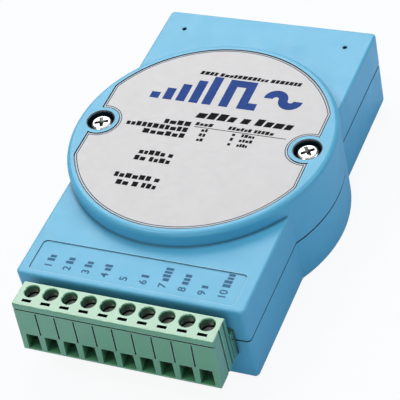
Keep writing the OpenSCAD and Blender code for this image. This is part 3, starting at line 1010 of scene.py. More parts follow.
@dataclass
class Case:
    """The two moulded shells: a rectangular case with a round drum through its middle."""

    upper: CadBox = box_field("upper_case")
    lower: CadBox = box_field("lower_case")
    screw: CadBox = box_field("mounting_screw_right")
    rating: CadBox = box_field("rating_label")
    header: CadBox = box_field("pin_header")
    half_w: float = 30.0
    case_h: float = 23.7
    parting_z: float = 13.1
    gap: float = 0.4
    wall: float = 2.0
    corner: float = 1.2
    top_round: float = 0.7
    base_round: float = 1.1
    rim_round: float = 1.3
    lip: float = 0.28
    slip: float = 0.1
    post_r: float = 5.0
    upper_post_r: float = 3.0
    lower_post_r: float = 3.4
    post_lap: float = 0.05
    boss_r: float = 4.8
    mount_head_h: float = 2.4
    counterbore_drop: float = 5.5
    counterbore_flare: float = 0.2
    counterbore_r: float = 3.5
    bore_r: float = 1.7
    pilot_r: float = 1.27
    pilot_depth: float = 8.0
    dimple_r: float = 0.6
    dimple_depth: float = 0.8
    dimple_flare: float = 0.15
    ring_pocket_r: float = 3.0
    ring_pocket_z: float = 8.7
    board_z: float = 6.9
    board_rest: Triple = (24.0, 1.5, 3.0)
    label_r: float = 33.05
    label_half_w: float = 30.25
    label_recess: float = 0.4
    panel_low: Ring = (-27.3, 1.6)
    panel_high: Ring = (27.0, 11.5)
    panel_recess: float = 0.3
    case_screws: tuple[Ring, ...] = ((-23.4, -36.0), (23.4, -36.0), (-23.4, 43.5), (23.4, 43.5))
    screw_recess: tuple[Ring, ...] = (
        (2.9, -PAST),
        (2.9, 0.0),
        (2.7, 0.2),
        (2.7, 2.4),
        (1.45, 2.4),
        (1.45, 8.0),
    )
    drum_sides: int = 192

    @property
    def half_l(self) -> float:
        """Half of the case's length."""
        return self.upper.high.y

    @property
    def drum_r(self) -> float:
        """Radius of the drum."""
        return self.upper.high.x

    @property
    def drum_h(self) -> float:
        """Height of the drum's face."""
        return self.upper.high.z

    @property
    def mount_x(self) -> float:
        """Distance of a mounting screw from the drum's axis."""
        return self.screw.middle.x

    def _bar(self, inset: float, bottom: float, top: float) -> Shape:
        """A plain bar with the case's plan, moved inwards by an inset."""
        w, l = self.half_w - inset, self.half_l - inset
        return Shape.block("bar", (-w, -l, bottom), (w, l, top))

    def _disc(self, inset: float, bottom: float, top: float) -> Shape:
        """A plain disc with the drum's plan, moved inwards by an inset."""
        r = self.drum_r - inset
        return Shape.turned("disc", [(r, bottom), (r, top)], sides=self.drum_sides)

    def _plan(self, inset: float, bottom: float, top: float) -> Shape:
        """Bar and disc in one."""
        return self._bar(inset, bottom, top).add(self._disc(inset, bottom, top))

    def _pillar(self, centre: Ring, radius: float, bottom: float, top: float) -> Shape:
        """A round pillar or a straight bore."""
        return Shape.turned("pillar", [(radius, bottom), (radius, top)], centre, 48)

    def _flared(self, centre: Ring, radius: float, floor: float, mouth: float, flare: float) -> Shape:
        """A cutter for a bore whose mouth, at the top, is flared."""
        rings = [
            (radius, floor),
            (radius, mouth - flare),
            (radius + flare, mouth),
            (radius + flare, mouth + PAST),
        ]
        return Shape.turned("flared", rings, centre, 64)

    def _header_opening(self) -> Shape:
        """A cutter for the window that the header looks out of."""
        box, s = self.header, self.slip
        low = (box.low.x - s, -self.half_l - PAST, box.low.z - s)
        high = (box.high.x + s, -self.half_l + self.wall + PAST, box.high.z + s)
        return Shape.block("opening", low, high)

    def _mounts(self) -> list[Ring]:
        """The two axes of the mounting screws."""
        return [(side.value * self.mount_x, 0.0) for side in Side]

    def _outside_upper(self) -> Shape:
        """The upper shell's outer form, still solid."""
        bottom = self.parting_z + self.gap
        bar = self._bar(0.0, bottom, self.case_h)
        bar.bevel_uprights(self.corner, 5)
        bar.bevel_level(self.case_h, self.top_round, 4)
        bar.bevel_level(bottom, self.lip, 2)
        drum = self._disc(0.0, bottom, self.drum_h)
        drum.bevel_level(self.drum_h, self.rim_round, 6)
        drum.bevel_level(bottom, self.lip, 2)
        return bar.add(drum)

    def _label_recess(self) -> Shape:
        """A cutter for the seat of the face label, which leaves both bosses standing."""
        floor, top = self.drum_h - self.label_recess, self.drum_h + PAST
        disc = self._disc(self.drum_r - self.label_r, floor, top)
        for side in Side:
            edge = side.value * self.label_half_w
            low, high = sorted((edge, side.value * 2 * self.drum_r))
            disc.cut(
                Shape.block(
                    "past_edge",
                    (low, -self.drum_r, floor - PAST),
                    (high, self.drum_r, top + PAST),
                )
            )
        for centre in self._mounts():
            disc.cut(self._pillar(centre, self.boss_r, floor - PAST, top + PAST))
        return disc

    def _terminal_panel(self) -> Shape:
        """A cutter for the shallow panel beside the terminals, with round far corners."""
        front = -self.half_l
        low = (self.panel_low[0], front + self.panel_low[1], self.case_h - self.panel_recess)
        high = (self.panel_high[0], front + self.panel_high[1], self.case_h + PAST)
        return Shape.block("panel", low, high).bevel_uprights(self.corner, 4)

    def upper_shell(self) -> bpy.types.Object:
        """Model the upper shell with its bosses, bores, label seat and panel.

        Returns:
            The finished piece.
        """
        bottom = self.parting_z + self.gap
        shoulder = self.lower.high.z + self.slip
        ceiling = self.case_h - self.wall
        drum_ceiling = self.drum_h - self.wall - self.label_recess
        shell = self._outside_upper()
        shell.cut(self._plan(self.wall / 2, bottom - PAST, shoulder))
        shell.cut(self._bar(self.wall, shoulder - PAST, ceiling))
        shell.cut(self._disc(self.wall, shoulder - PAST, drum_ceiling))
        shell.cut(self._label_recess(), self._terminal_panel())
        for centre in self._mounts():
            shell.add(self._pillar(centre, self.post_r, shoulder, self.drum_h - self.wall / 2))
        board_top = self.upper.low.z
        for centre in self.case_screws:
            roof = self.case_h - self.wall / 2
            shell.add(self._pillar(centre, self.upper_post_r, board_top, roof))
        floor = self.screw.high.z - self.mount_head_h - self.counterbore_drop
        for centre in self._mounts():
            flare = self.counterbore_flare
            shell.cut(
                self._flared(centre, self.counterbore_r, floor, self.drum_h, flare),
                self._pillar(centre, self.bore_r, shoulder - PAST, floor + PAST),
            )
        for centre in self.case_screws:
            pilot_top = board_top + self.pilot_depth
            shell.cut(self._pillar(centre, self.pilot_r, board_top - PAST, pilot_top))
        for centre in self.case_screws[2:]:
            dimple = self.case_h - self.dimple_depth
            shell.cut(
                self._flared(centre, self.dimple_r, dimple, self.case_h, self.dimple_flare)
            )
        shell.cut(self._header_opening())
        return settle(
            shell.finish("upper_shell"), "module", CASE_PLASTIC, ["upper_case"]
        )

    def lower_shell(self) -> bpy.types.Object:
        """Model the lower shell with its tongue, posts, screw recesses and label seat.

        Returns:
            The finished piece.
        """
        tongue_top = self.lower.high.z
        bar = self._bar(0.0, 0.0, self.parting_z)
        bar.bevel_uprights(self.corner, 5)
        bar.bevel_level(0.0, self.base_round, 4)
        bar.bevel_level(self.parting_z, self.lip, 2)
        drum = self._disc(0.0, 0.0, self.parting_z)
        drum.bevel_level(0.0, self.base_round, 4)
        drum.bevel_level(self.parting_z, self.lip, 2)
        shell = bar.add(drum)
        tongue = self.wall / 2 + self.slip
        shell.add(self._plan(tongue, self.parting_z - PAST, tongue_top))
        shell.cut(self._plan(self.wall, self.wall, tongue_top + PAST))
        for centre in self._mounts():
            post_top = tongue_top - self.post_lap
            shell.add(self._pillar(centre, self.post_r, self.wall / 2, post_top))
        for centre in self.case_screws:
            shell.add(self._pillar(centre, self.lower_post_r, self.wall / 2, self.board_z))
        place, half, depth = self.board_rest
        for side in Side:
            x, y = side.value * place, -self.half_l + self.wall + 1.0
            low, high = (x - half, y, self.wall / 2), (x + half, y + depth, self.board_z)
            shell.add(Shape.block("rest", low, high))
        pocket = [
            (self.bore_r, -PAST),
            (self.bore_r, self.ring_pocket_z),
            (self.ring_pocket_r, self.ring_pocket_z),
            (self.ring_pocket_r, tongue_top + PAST),
        ]
        for centre in self._mounts():
            shell.cut(Shape.turned("ring_pocket", pocket, centre, 64))
        for centre in self.case_screws:
            shell.cut(Shape.turned("screw_recess", list(self.screw_recess), centre, 48))
        shell.cut(self._header_opening())
        seat, s = self.rating, self.slip
        low = (seat.low.x - s, seat.low.y - s, -PAST)
        high = (seat.high.x + s, seat.high.y + s, self.label_recess)
        shell.cut(Shape.block("rating_seat", low, high).bevel_uprights(1.0, 4))
        return settle(
            shell.finish("lower_shell"), "module", CASE_PLASTIC, ["lower_case"]
        )


# ---------------------------------------------------------------- labels


@dataclass
class Print:
    """Ink on a label: small blocks that stand for lines of type, and a signal pictogram."""

    surface: float
    thickness: float = 0.02
    seed: int = 11
    parts: list[Shape] = field(default_factory=list)

    def __post_init__(self) -> None:
        """Seed the block widths."""
        self.dice = random.Random(self.seed)

    def bar(self, low: Ring, high: Ring, slant: float = 0.0) -> Shape:
        """Print a bar.

        Args:
            low: Its lower left corner.
            high: Its upper right corner.
            slant: How far its top leans to the right.

        Returns:
            The bar's shape.
        """
        bottom, top = self.surface - self.thickness, self.surface + self.thickness
        shape = Shape.block("ink", (*low, bottom), (*high, top))
        if slant:
            middle = (low[1] + high[1]) / 2
            shape.slide(Part.VERTEX, lambda at, out: at.y > middle, (slant, 0, 0))
        self.parts.append(shape)
        return shape

    def line(self, x: Ring, y: float, height: float, words: Words, slant: float = 0.0) -> None:
        """Print a line of block words, fitted between two ends.

        Args:
            x: Where the line starts and ends.
            y: The line's foot.
            height: Height of its tallest blocks.
            words: How many blocks each word has.
            slant: How far each block leans to the right.
        """
        spans, at = [], 0.0
        for count in words:
            for _ in range(count):
                width = self.dice.uniform(0.6, 0.95)
                spans.append((at, at + width, height * self.dice.choice((0.76, 1.0, 1.0))))
                at += width + 0.2
            at += 0.45
        fit = (x[1] - x[0]) / spans[-1][1]
        for left, right, tall in spans:
            self.bar((x[0] + left * fit, y), (x[0] + right * fit, y + tall), slant)

    def half_ring(self, centre: Ring, radius: float, stroke: float, upper: bool) -> None:
        """Print half of a ring, the upper or the lower one."""
        bottom, top = self.surface - self.thickness, self.surface + self.thickness
        ring = Shape.turned("ink", [(radius, bottom), (radius, top)], centre, 64)
        hole = radius - stroke
        ring.cut(Shape.turned("hole", [(hole, bottom - PAST), (hole, top + PAST)], centre, 64))
        reach = radius + PAST
        low_y, high_y = (centre[1] - reach, centre[1]) if upper else (centre[1], centre[1] + reach)
        low = (centre[0] - reach, low_y, bottom - PAST)
        ring.cut(Shape.block("half", low, (centre[0] + reach, high_y, top + PAST)))
        self.parts.append(ring)

    def piece(self, name: str, finish: Finish) -> bpy.types.Object:
        """Join everything printed so far into one piece.

        Args:
            name: The piece's name.
            finish: The ink.

        Returns:
            The finished piece.
        """
        obj = Shape.joined(name, self.parts).finish(name)
        return settle(obj, "module", finish)


@dataclass
class Labels:
    """The round face label and the rating label on the base, with generic print."""

    case: Case
    face: CadBox = box_field("face_label")
    rating: CadBox = box_field("rating_label")
    film_r: float = 32.7
    film_half_w: float = 29.9
    boss_clearance: float = 5.15
    # Place and width of the dark ring of painted shade along the label's edge.
    border_inset: float = 0.3
    border_w: float = 0.24
    type_h: float = 1.65
    margin_x: float = -4.2
    table_pitch: float = 1.75
    emblem_foot: float = 10.9
    emblem_h: float = 10.4
    emblem_stroke: float = 2.5
    first_bar: Ring = (-19.3, 2.3)
    bar_step: Ring = (3.7, 2.1)
    bars: int = 5
    step_x: float = 0.2
    wave_r: float = 3.3
    wave_gap: float = 0.8

    def _face_outline(self, inset: float, bottom: float, top: float) -> Shape:
        """A sheet with the face label's outline, straight at both sides and cut round the bosses.

        Args:
            inset: How far the outline is moved inwards.
            bottom: Height of its underside.
            top: Height of its face.

        Returns:
            The sheet.
        """
        r = self.film_r - inset
        sheet = Shape.turned("sheet", [(r, bottom), (r, top)], sides=self.case.drum_sides)
        reach, clear = 2 * self.film_r, self.boss_clearance + inset
        for side in Side:
            edge = side.value * (self.film_half_w - inset)
            low, high = sorted((edge, side.value * reach))
            sheet.cut(
                Shape.block("edge", (low, -reach, bottom - PAST), (high, reach, top + PAST)),
                Shape.turned(
                    "boss",
                    [(clear, bottom - PAST), (clear, top + PAST)],
                    (side.value * self.case.mount_x, 0.0),
                    96,
                ),
            )
        return sheet

    def face_film(self) -> bpy.types.Object:
        """Model the film of the face label.

        Returns:
            The finished piece.
        """
        film = self._face_outline(0.0, self.face.low.z, self.face.high.z)
        film.bevel_level(self.face.high.z, 0.05, 1)
        return settle(
            film.finish("face_film"), "module", LABEL_FILM, ["face_label"]
        )

    def _face_border(self) -> Shape:
        """A thin dark ring along the face label's outline: painted shade that stands for the shadowed
        gap round the label.
        """
        bottom, top = self.face.high.z - 0.01, self.face.high.z + 0.01
        gap_shade = self._face_outline(self.border_inset, bottom, top)
        inner = self.border_inset + self.border_w
        return gap_shade.cut(self._face_outline(inner, bottom - PAST, top + PAST))

    def face_print(self) -> None:
        """Print the face label: words and a table in black, the pictogram in blue, and a dark ring of
        painted shade along its edge.
        """
        black = Print(self.face.high.z)
        black.line((-9.2, 18.9), 21.9, 1.3, (4, 11, 7), 0.3)
        black.line((-4.1, 21.9), 5.7, 2.5, (4, 1, 4), 0.6)
        black.line((-3.0, 1.6), 3.0, 1.2, (4,), 0.2)
        black.line((6.0, 18.2), 3.0, 1.2, (6, 5), 0.2)
        black.bar((-3.0, 2.35), (22.0, 2.55))
        for row, reach in enumerate((13.9, 13.9, 13.2)):
            foot = 1.0 - row * self.table_pitch
            black.line((-0.6, 1.1), foot, 1.1, (2,))
            black.line((7.9, 8.7), foot, 1.1, (1,))
            black.line((10.4, reach), foot, 1.1, (4,))
        for start, foot, words in (
            (-11.5, 2.2, (4,)),
            (-21.3, 0.0, (11,)),
            (-15.8, -2.2, (6,)),
            (-13.6, -9.6, (5, 1)),
            (-14.0, -11.9, (2, 4)),
            (-16.6, -18.5, (6, 1)),
            (-15.1, -21.0, (2, 1, 3)),
        ):
            black.line((start, self.margin_x), foot, self.type_h, words)
        black.piece("face_print_black", BLACK_INK)
        self._emblem()
        # A printed dark ring along the label's edge: painted shade of the gap round it.
        edge = Print(self.face.high.z)
        edge.parts.append(self._face_border())
        edge.piece("face_print_gap_shade", GAP_SHADE_INK)

    def _emblem(self) -> None:
        """Print the pictogram: rising bars, a step and a wave."""
        blue = Print(self.face.high.z)
        foot, stroke = self.emblem_foot, self.emblem_stroke
        for number in range(self.bars):
            left = self.first_bar[0] + number * self.bar_step[0]
            height = self.first_bar[1] + number * self.bar_step[1]
            blue.bar((left, foot), (left + stroke, foot + height))
        left, high = self.step_x, foot + self.emblem_h
        blue.bar((left, foot), (left + stroke, high))
        blue.bar((left + stroke, high - stroke), (left + 2 * stroke, high))
        blue.bar((left + 2 * stroke, foot), (left + 3 * stroke, high))
        blue.bar((left + 3 * stroke, foot), (left + 4 * stroke, foot + stroke))
        middle, radius = foot + self.emblem_h / 2, self.wave_r
        first = left + 4 * stroke + self.wave_gap + radius
        blue.half_ring((first, middle), radius, stroke, True)
        blue.half_ring((first + 2 * radius - stroke, middle), radius, stroke, False)
        blue.piece("face_print_blue", BLUE_INK)

    def rating_label(self) -> None:
        """Model the rating label on the base and its generic print."""
        low, high = self.rating.low, self.rating.high
        film = Shape.block("film", tuple(low), tuple(high)).bevel_uprights(0.9, 4)
        film.bevel_level(low.z, 0.05, 1)
        settle(
            film.finish("rating_film"), "module", RATING_FILM, ["rating_label"]
        )
        ink = Print(low.z, seed=5)
        left, right = low.x + 2.0, high.x - 2.0
        for row, words in enumerate(((7, 5), (4, 9, 3), (6, 6), (3, 8), (9,))):
            end = left + 1.35 * sum(words)
            ink.line((left, end), high.y - 4.0 - row * 3.0, 1.4, words)
        ink.bar((left, low.y + 5.2), (right, low.y + 5.4))
        ink.line((left, left + 20.0), low.y + 2.2, 1.6, (10, 4))
        for column in range(14):
            at = right - 12.0 + column * 0.85
            ink.bar((at, high.y - 9.0), (at + ink.dice.uniform(0.2, 0.55), high.y - 3.0))
        ink.piece("rating_print", BLACK_INK)


# ---------------------------------------------------------------- screws


@dataclass
class Fasteners:
    """The two captive mounting screws and the four case screws."""

    case: Case
    mount: CadBox = box_field("mounting_screw_right")
    case_set: CadBox = box_field("case_screws")
    head_r: float = 3.1
    head_h: float = 2.4
    shank_r: float = 1.5
    neck_r: float = 1.2
    ring: CadBox = box_field("retaining_ring_right")
    thread_pitch: float = 0.5
    thread_top: float = 12.0
    cross: Triple = (2.3, 1.3, 1.6)
    case_cross: Triple = (1.5, 0.75, 1.1)
    left_turn: float = 24.0
    right_turn: float = 38.0
    case_turns: Ring = (17.0, 31.0)

    def _cross(self, size: Triple, top: float) -> Shape:
        """A cutter for a cross recess whose arms narrow towards the bottom.

        Args:
            size: How far its arms reach, how wide they are and how deep they go.
            top: Height of the screw's head.

        Returns:
            The cutter.
        """
        arm, width, depth = size
        arms = []
        for half_x, half_y in ((arm, width / 2), (width / 2, arm)):
            low, high = (-half_x, -half_y, top - depth), (half_x, half_y, top + PAST)
            blade = Shape.block("blade", low, high)
            with blade.editing():
                blade.pick(Part.FACE, lambda at, out: out.z < -0.9)
                bpy.ops.transform.resize(value=(0.5, 0.5, 1), center_override=(0, 0, low[2]))
            arms.append(blade)
        return arms[0].add(arms[1])

    def _thread(self, bottom: float, top: float) -> Shape:
        """The ridge of a thread, wound up a shank with the screw's radius."""
        core, crest = self.neck_r - 0.05, self.shank_r
        half = self.thread_pitch * 0.42
        low, high = (core, -0.01, bottom - half), (crest, 0.01, bottom + half)
        ridge = Shape.block("ridge", low, high)
        with ridge.editing():
            ridge.pick(Part.FACE, lambda at, out: abs(out.y) < 0.9 or at.y < 0)
            bpy.ops.mesh.delete(type="FACE")
            ridge.pick(Part.VERTEX, lambda at, out: at.x > (core + crest) / 2)
            bpy.ops.transform.resize(value=(1, 1, 0.25), center_override=(crest, 0, bottom))
        wake(ridge.obj)
        modifier = ridge.obj.modifiers.new("wind", "SCREW")
        modifier.axis = "Z"
        modifier.steps = modifier.render_steps = 24
        modifier.screw_offset = self.thread_pitch
        modifier.iterations = round((top - bottom) / self.thread_pitch)
        modifier.use_normal_calculate = True
        bpy.ops.object.modifier_apply(modifier=modifier.name)
        with ridge.editing():
            bpy.ops.mesh.select_all(action="SELECT")
            bpy.ops.mesh.remove_doubles(threshold=0.0005)
            bpy.ops.mesh.fill_holes(sides=4)
            bpy.ops.mesh.normals_make_consistent(inside=False)
        return ridge

    def _mounting_screw(self) -> Shape:
        """One captive mounting screw on the Z axis."""
        tip, top = self.mount.low.z, self.mount.high.z
        seat = top - self.head_h
        core = self.neck_r
        rings = [
            (core - 0.5, tip),
            (core, tip + 0.5),
            (core, self.thread_top + 0.4),
            (self.shank_r, self.thread_top + 0.7),
            (self.shank_r, self.ring.low.z - 0.05),
            (core, self.ring.low.z - 0.05),
            (core, self.ring.high.z + 0.05),
            (self.shank_r, self.ring.high.z + 0.05),
            (self.shank_r, seat),
            (self.head_r - 0.15, seat),
            (self.head_r, seat + 0.15),
            (self.head_r, top - 1.0),
            (self.head_r - 0.12, top - 0.62),
            (self.head_r - 0.38, top - 0.3),
            (self.head_r - 0.75, top - 0.1),
            (self.head_r - 1.15, top),
        ]
        screw = Shape.turned("captive_screw", rings, sides=64)
        screw.cut(self._cross(self.cross, top))
        return Shape.joined("captive_screw", [screw, self._thread(tip + 0.7, self.thread_top)])

    def mounting_screws(self) -> None:
        """Model the captive mounting screws, each with its cross turned its own way."""
        screw = self._mounting_screw()
        for side, turn in ((Side.LEFT, self.left_turn), (Side.RIGHT, self.right_turn)):
            name = side.name.lower()
            twin = screw.copy((side.value * self.case.mount_x, 0, 0), turn)
            settle(
                twin.finish(f"captive_screw_{name}"),
                f"{name}_mounting_screw",
                NICKEL,
                [f"mounting_screw_{name}"],
            )
        bpy.data.objects.remove(screw.obj)

    def case_screws(self) -> None:
        """Model the case screws, which go up from the base with their heads down."""
        low, high = self.case_set.low.z, self.case_set.high.z
        rings = [
            (0.7, -high),
            (1.25, -high + 0.8),
            (1.25, -low - 1.8),
            (2.4, -low - 1.8),
            (2.4, -low - 0.7),
            (2.2, -low - 0.25),
            (1.7, -low),
        ]
        screw = Shape.turned("case_screw", rings, sides=48)
        screw.cut(self._cross(self.case_cross, -low))
        screw.tip("X", 180)
        first, step = self.case_turns
        copies = [
            screw.copy((*place, 0), first + step * number)
            for number, place in enumerate(self.case.case_screws)
        ]
        bpy.data.objects.remove(screw.obj)
        joined = Shape.joined("case_screw_set", copies)
        settle(joined.finish("case_screw_set"), "module", ZINC, ["case_screws"])


# ---------------------------------------------------------------- terminal plug


@dataclass
class TerminalPlug:
    """The plug-in terminal row: its moulding, slotted clamp screws and rising cages."""

    case: Case
    body: CadBox = box_field("plug_housing")
    poles: int = 10
    back: float = 2.2
    lean: float = 1.4
    nose_half_w: float = 25.1
    nose_low: float = 9.7
    nose_high: float = 15.9
    well_r: float = 1.85
    head_r: float = 1.75
    head_h: float = 1.6
    shank_r: float = 1.45
    slot_w: float = 0.6
    chamber: Ring = (1.85, 2.2)
    chamber_low: float = 9.2
    chamber_high: float = 18.5
    entry_half_w: float = 1.55
    entry_h: float = 4.6
    ledge: Ring = (21.6, 22.0)
    groove_depth: float = 0.5
    groove_w: float = 0.45
    edge_round: float = 0.22
    slot_depth: float = 0.7
    test_slot: Triple = (1.25, 0.9, 3.0)
    test_slot_reach: float = 8.45
    rib_reaches: Ring = (4.2, 6.6)
    rib: Ring = (0.25, 0.8)
    cage_wall: float = 0.45
    tooth: Triple = (1.1, 0.2, 0.5)
    tooth_places: Triple = (-1.2, 0.0, 1.2)
    header_depth: float = 6.5
    pin_half: float = 0.5
    pin_z: float = 12.8
    pin_size: float = 2.8
    pin_weight: float = 0.05
    pin_foot: float = 3.3
    pin_words: Words = (2, 2, 2, 2, 0, 1, 4, 3, 1, 4)
    screws: list[CadBox] = field(default_factory=list)
    cages: list[CadBox] = field(default_factory=list)

    def __post_init__(self) -> None:
        """Measure every pole's screw and cage."""
        numbers = range(1, self.poles + 1)
        self.screws = [CadBox.of(f"clamp_screw_{number}") for number in numbers]
        self.cages = [CadBox.of(f"clamp_cage_{number}") for number in numbers]

    @property
    def clamp_y(self) -> float:
        """Place of the row of screws."""
        return self.screws[0].middle.y

    def front_at(self, height: float) -> float:
        """Place of the leaning front face at a height."""
        low, high = self.body.low.z, self.body.high.z
        return self.body.low.y + self.lean * (height - low) / (high - low)

    def _front_cutter(self, x: Ring, z: Ring) -> Shape:
        """A cutter of even depth in the leaning front."""
        depth = self.groove_depth
        low = (x[0], self.front_at(z[0]) - PAST, z[0])
        high = (x[1], self.front_at(z[0]) + depth, z[1])
        cutter = Shape.block("groove", low, high)
        lean = self.front_at(z[1]) - self.front_at(z[0])
        middle = sum(z) / 2
        return cutter.slide(Part.VERTEX, lambda at, out: at.z > middle, (0, lean, 0))

    def _pole_cutter(self) -> Shape:
        """Everything that one pole takes out of the moulding, at x = 0."""
        top, floor = self.body.high.z, self.screws[0].high.z - self.head_h
        mouth = self.edge_round
        rings = [
            (self.shank_r + 0.1, self.chamber_high - PAST),
            (self.shank_r + 0.1, floor),
            (self.well_r, floor),
            (self.well_r, top - mouth),
            (self.well_r + mouth, top),
            (self.well_r + mouth, top + PAST),
        ]
        cutter = Shape.turned("well", rings, (0.0, self.clamp_y), 48)
        half_w, half_d = self.chamber
        cutter.add(
            Shape.block(
                "chamber",
                (-half_w, self.clamp_y - half_d, self.chamber_low),
                (half_w, self.clamp_y + half_d, self.chamber_high),
            )
        )
        low_z, high_z = self.chamber_low + 0.02, self.chamber_low + self.entry_h
        front = self.front_at(high_z) + 0.35
        entry = Shape.block(
            "entry",
            (-self.entry_half_w, front, low_z),
            (self.entry_half_w, self.clamp_y, high_z),
        )
        entry.draw_out(lambda at, out: out.y < -0.9, (0, -0.9, 0), (1.25, 1, 1.12))
        entry.draw_out(lambda at, out: out.y < -0.9, (0, -PAST, 0))
        cutter.add(entry)
        half_w, width, depth = self.test_slot
        near = -self.case.half_l - self.test_slot_reach
        low, high = (-half_w, near, top - depth), (half_w, near + width, top + PAST)
        slot = Shape.block("test_slot", low, high)
        return cutter.add(slot)

    def _socket_cutter(self) -> Shape:
        """The pocket of one pole's contact, with its mouth at the tip of the nose."""
        tip = self.body.high.y
        back = -self.case.half_l - self.back
        low = (-1.15, back - 1.0, self.pin_z - 1.3)
        pocket = Shape.block("pocket", low, (1.15, tip - 0.8, self.pin_z + 1.55))
        mouth = Shape.block(
            "mouth", (-0.8, tip - 2.0, self.pin_z - 0.8), (0.8, tip + PAST, self.pin_z + 0.8)
        )
        return pocket.add(mouth)

    def moulding(self) -> bpy.types.Object:
        """Model the plug's moulding.

        Returns:
            The finished piece.
        """
        low, high = self.body.low, self.body.high
        back = -self.case.half_l - self.back
        body = Shape.block("plug", tuple(low), (high.x, back, high.z))
        body.slide(
            Part.EDGE,
            lambda at, along: at.y < low.y + TINY and at.z > high.z - TINY,
            (0, self.lean, 0),
        )
        body.bevel_all(self.edge_round, 3)
        nose = Shape.block(
            "nose",
            (-self.nose_half_w, back - 0.3, self.nose_low),
            (self.nose_half_w, high.y, self.nose_high),
        )
        nose.bevel(0.4, 2, lambda at, along: at.y > high.y - TINY)
        body.add(nose)
        body.cut(self._front_cutter((low.x - PAST, high.x + PAST), self.ledge))
        places = [screw.middle.x for screw in self.screws]
        entry_top = self.chamber_low + self.entry_h + 0.4
        grooves = []
        for left, right in zip(places, places[1:]):
            middle, half = (left + right) / 2, self.groove_w / 2
            z = (entry_top, self.ledge[0] - 0.3)
            grooves.append(self._front_cutter((middle - half, middle + half), z))
        body.cut(Shape.joined("grooves", grooves))
        for make in (self._pole_cutter, self._socket_cutter):
            body.cut(repeat(make(), [(x, 0.0) for x in places], "cutters"))
        ribs = []
        depth, width = self.rib
        for side in (low.x, high.x):
            for reach in self.rib_reaches:
                y = -self.case.half_l - reach
                near, far = (side - depth, y, low.z - PAST), (side + depth, y + width, high.z + PAST)
                ribs.append(Shape.block("rib", near, far))
        body.cut(Shape.joined("ribs", ribs))
        return settle(
            body.finish("plug_moulding"),
            "terminal_plug",
            TERMINAL_PLASTIC,
            ["plug_housing"],
        )

    def _slot_angle(self, number: int) -> float:
        """Degrees that a screw's slot was left at, the same as in the frame."""
        return 40.0 + 14.0 * math.sin(math.radians(97.0 * number))

    def clamp_screws(self) -> None:
        """Model one slotted screw and set a copy in each pole."""
        low, high = self.screws[0].low.z, self.screws[0].high.z
        floor = high - self.head_h
        rings = [
            (self.shank_r - 0.4, low),
            (self.shank_r, low + 0.4),
            (self.shank_r, floor),
            (self.head_r, floor),
            (self.head_r, high - 0.25),
            (self.head_r - 0.08, high - 0.1),
            (self.head_r - 0.25, high),
        ]
        screw = Shape.turned("slotted", rings, sides=48)
        half = self.slot_w / 2
        reach = self.head_r + PAST
        slot_low, slot_high = (-reach, -half, high - self.slot_depth), (reach, half, high + PAST)
        screw.cut(Shape.block("slot", slot_low, slot_high))
        for number, box in enumerate(self.screws, 1):
            twin = screw.copy((box.middle.x, box.middle.y, 0), self._slot_angle(number))
            settle(
                twin.finish(f"slotted_screw_{number}"),
                f"clamp_{number}_screw",
                CLAMP_STEEL,
                [f"clamp_screw_{number}"],
            )
        bpy.data.objects.remove(screw.obj)

    def clamp_cages(self) -> None:
        """Model one rising cage, with its wire window and serrated roof, and copy it."""
        box = self.cages[0]
        size = (box.high - box.low) / 2
        low, high = (-size.x, -size.y, box.low.z), (size.x, size.y, box.high.z)
        cage = Shape.block("cage", low, high)
        cage.bevel(0.3, 3, lambda at, along: abs(along.y) > 0.99)
        window = Shape.block(
            "window",
            (-size.x + self.cage_wall, -size.y - PAST, box.low.z + 1.0),
            (size.x - self.cage_wall, size.y + PAST, box.high.z - 1.6),
        )
        window.bevel(0.3, 3, lambda at, along: abs(along.y) > 0.99)
        cage.cut(window)
        bore = self.shank_r + 0.05
        rings = [(bore, box.low.z + 2.0), (bore, box.high.z - 0.2), (bore + 0.2, box.high.z)]
        cage.cut(Shape.turned("bore", [*rings, (bore + 0.2, box.high.z + PAST)], sides=32))
        half_x, half_y, deep = self.tooth
        floor = box.low.z + 0.75
        teeth = [
            Shape.block("tooth", (-half_x, y - half_y, floor), (half_x, y + half_y, floor + deep))
            for y in self.tooth_places
        ]
        cage.cut(Shape.joined("teeth", teeth))
        for number, place in enumerate(self.cages, 1):
            twin = cage.copy((place.middle.x, place.middle.y, 0))
            settle(
                twin.finish(f"wire_cage_{number}"),
                f"clamp_{number}_cage",
                CAGE_BRASS,
                [f"clamp_cage_{number}"],
            )
        bpy.data.objects.remove(cage.obj)

    def header(self) -> None:
        """Model the header that the plug's nose slides into."""
        box = self.case.header
        shell = Shape.block("header", tuple(box.low), tuple(box.high)).bevel_all(0.25, 2)
        depth, half = -self.case.half_l + self.header_depth, self.pin_half
        cavity = Shape.block(
            "cavity",
            (-self.nose_half_w - 0.2, box.low.y - PAST, box.low.z + 1.0),
            (self.nose_half_w + 0.2, depth, self.nose_high + 0.2),
        )
        shell.cut(cavity)
        holes = [
            Shape.block(
                "hole",
                (screw.middle.x - half, depth - PAST, self.pin_z - half),
                (screw.middle.x + half, box.high.y + PAST, self.pin_z + half),
            )
            for screw in self.screws
        ]
        shell.cut(Shape.joined("holes", holes))
        settle(
            shell.finish("header_moulding"),
            "module",
            TERMINAL_PLASTIC,
            ["pin_header"],
        )

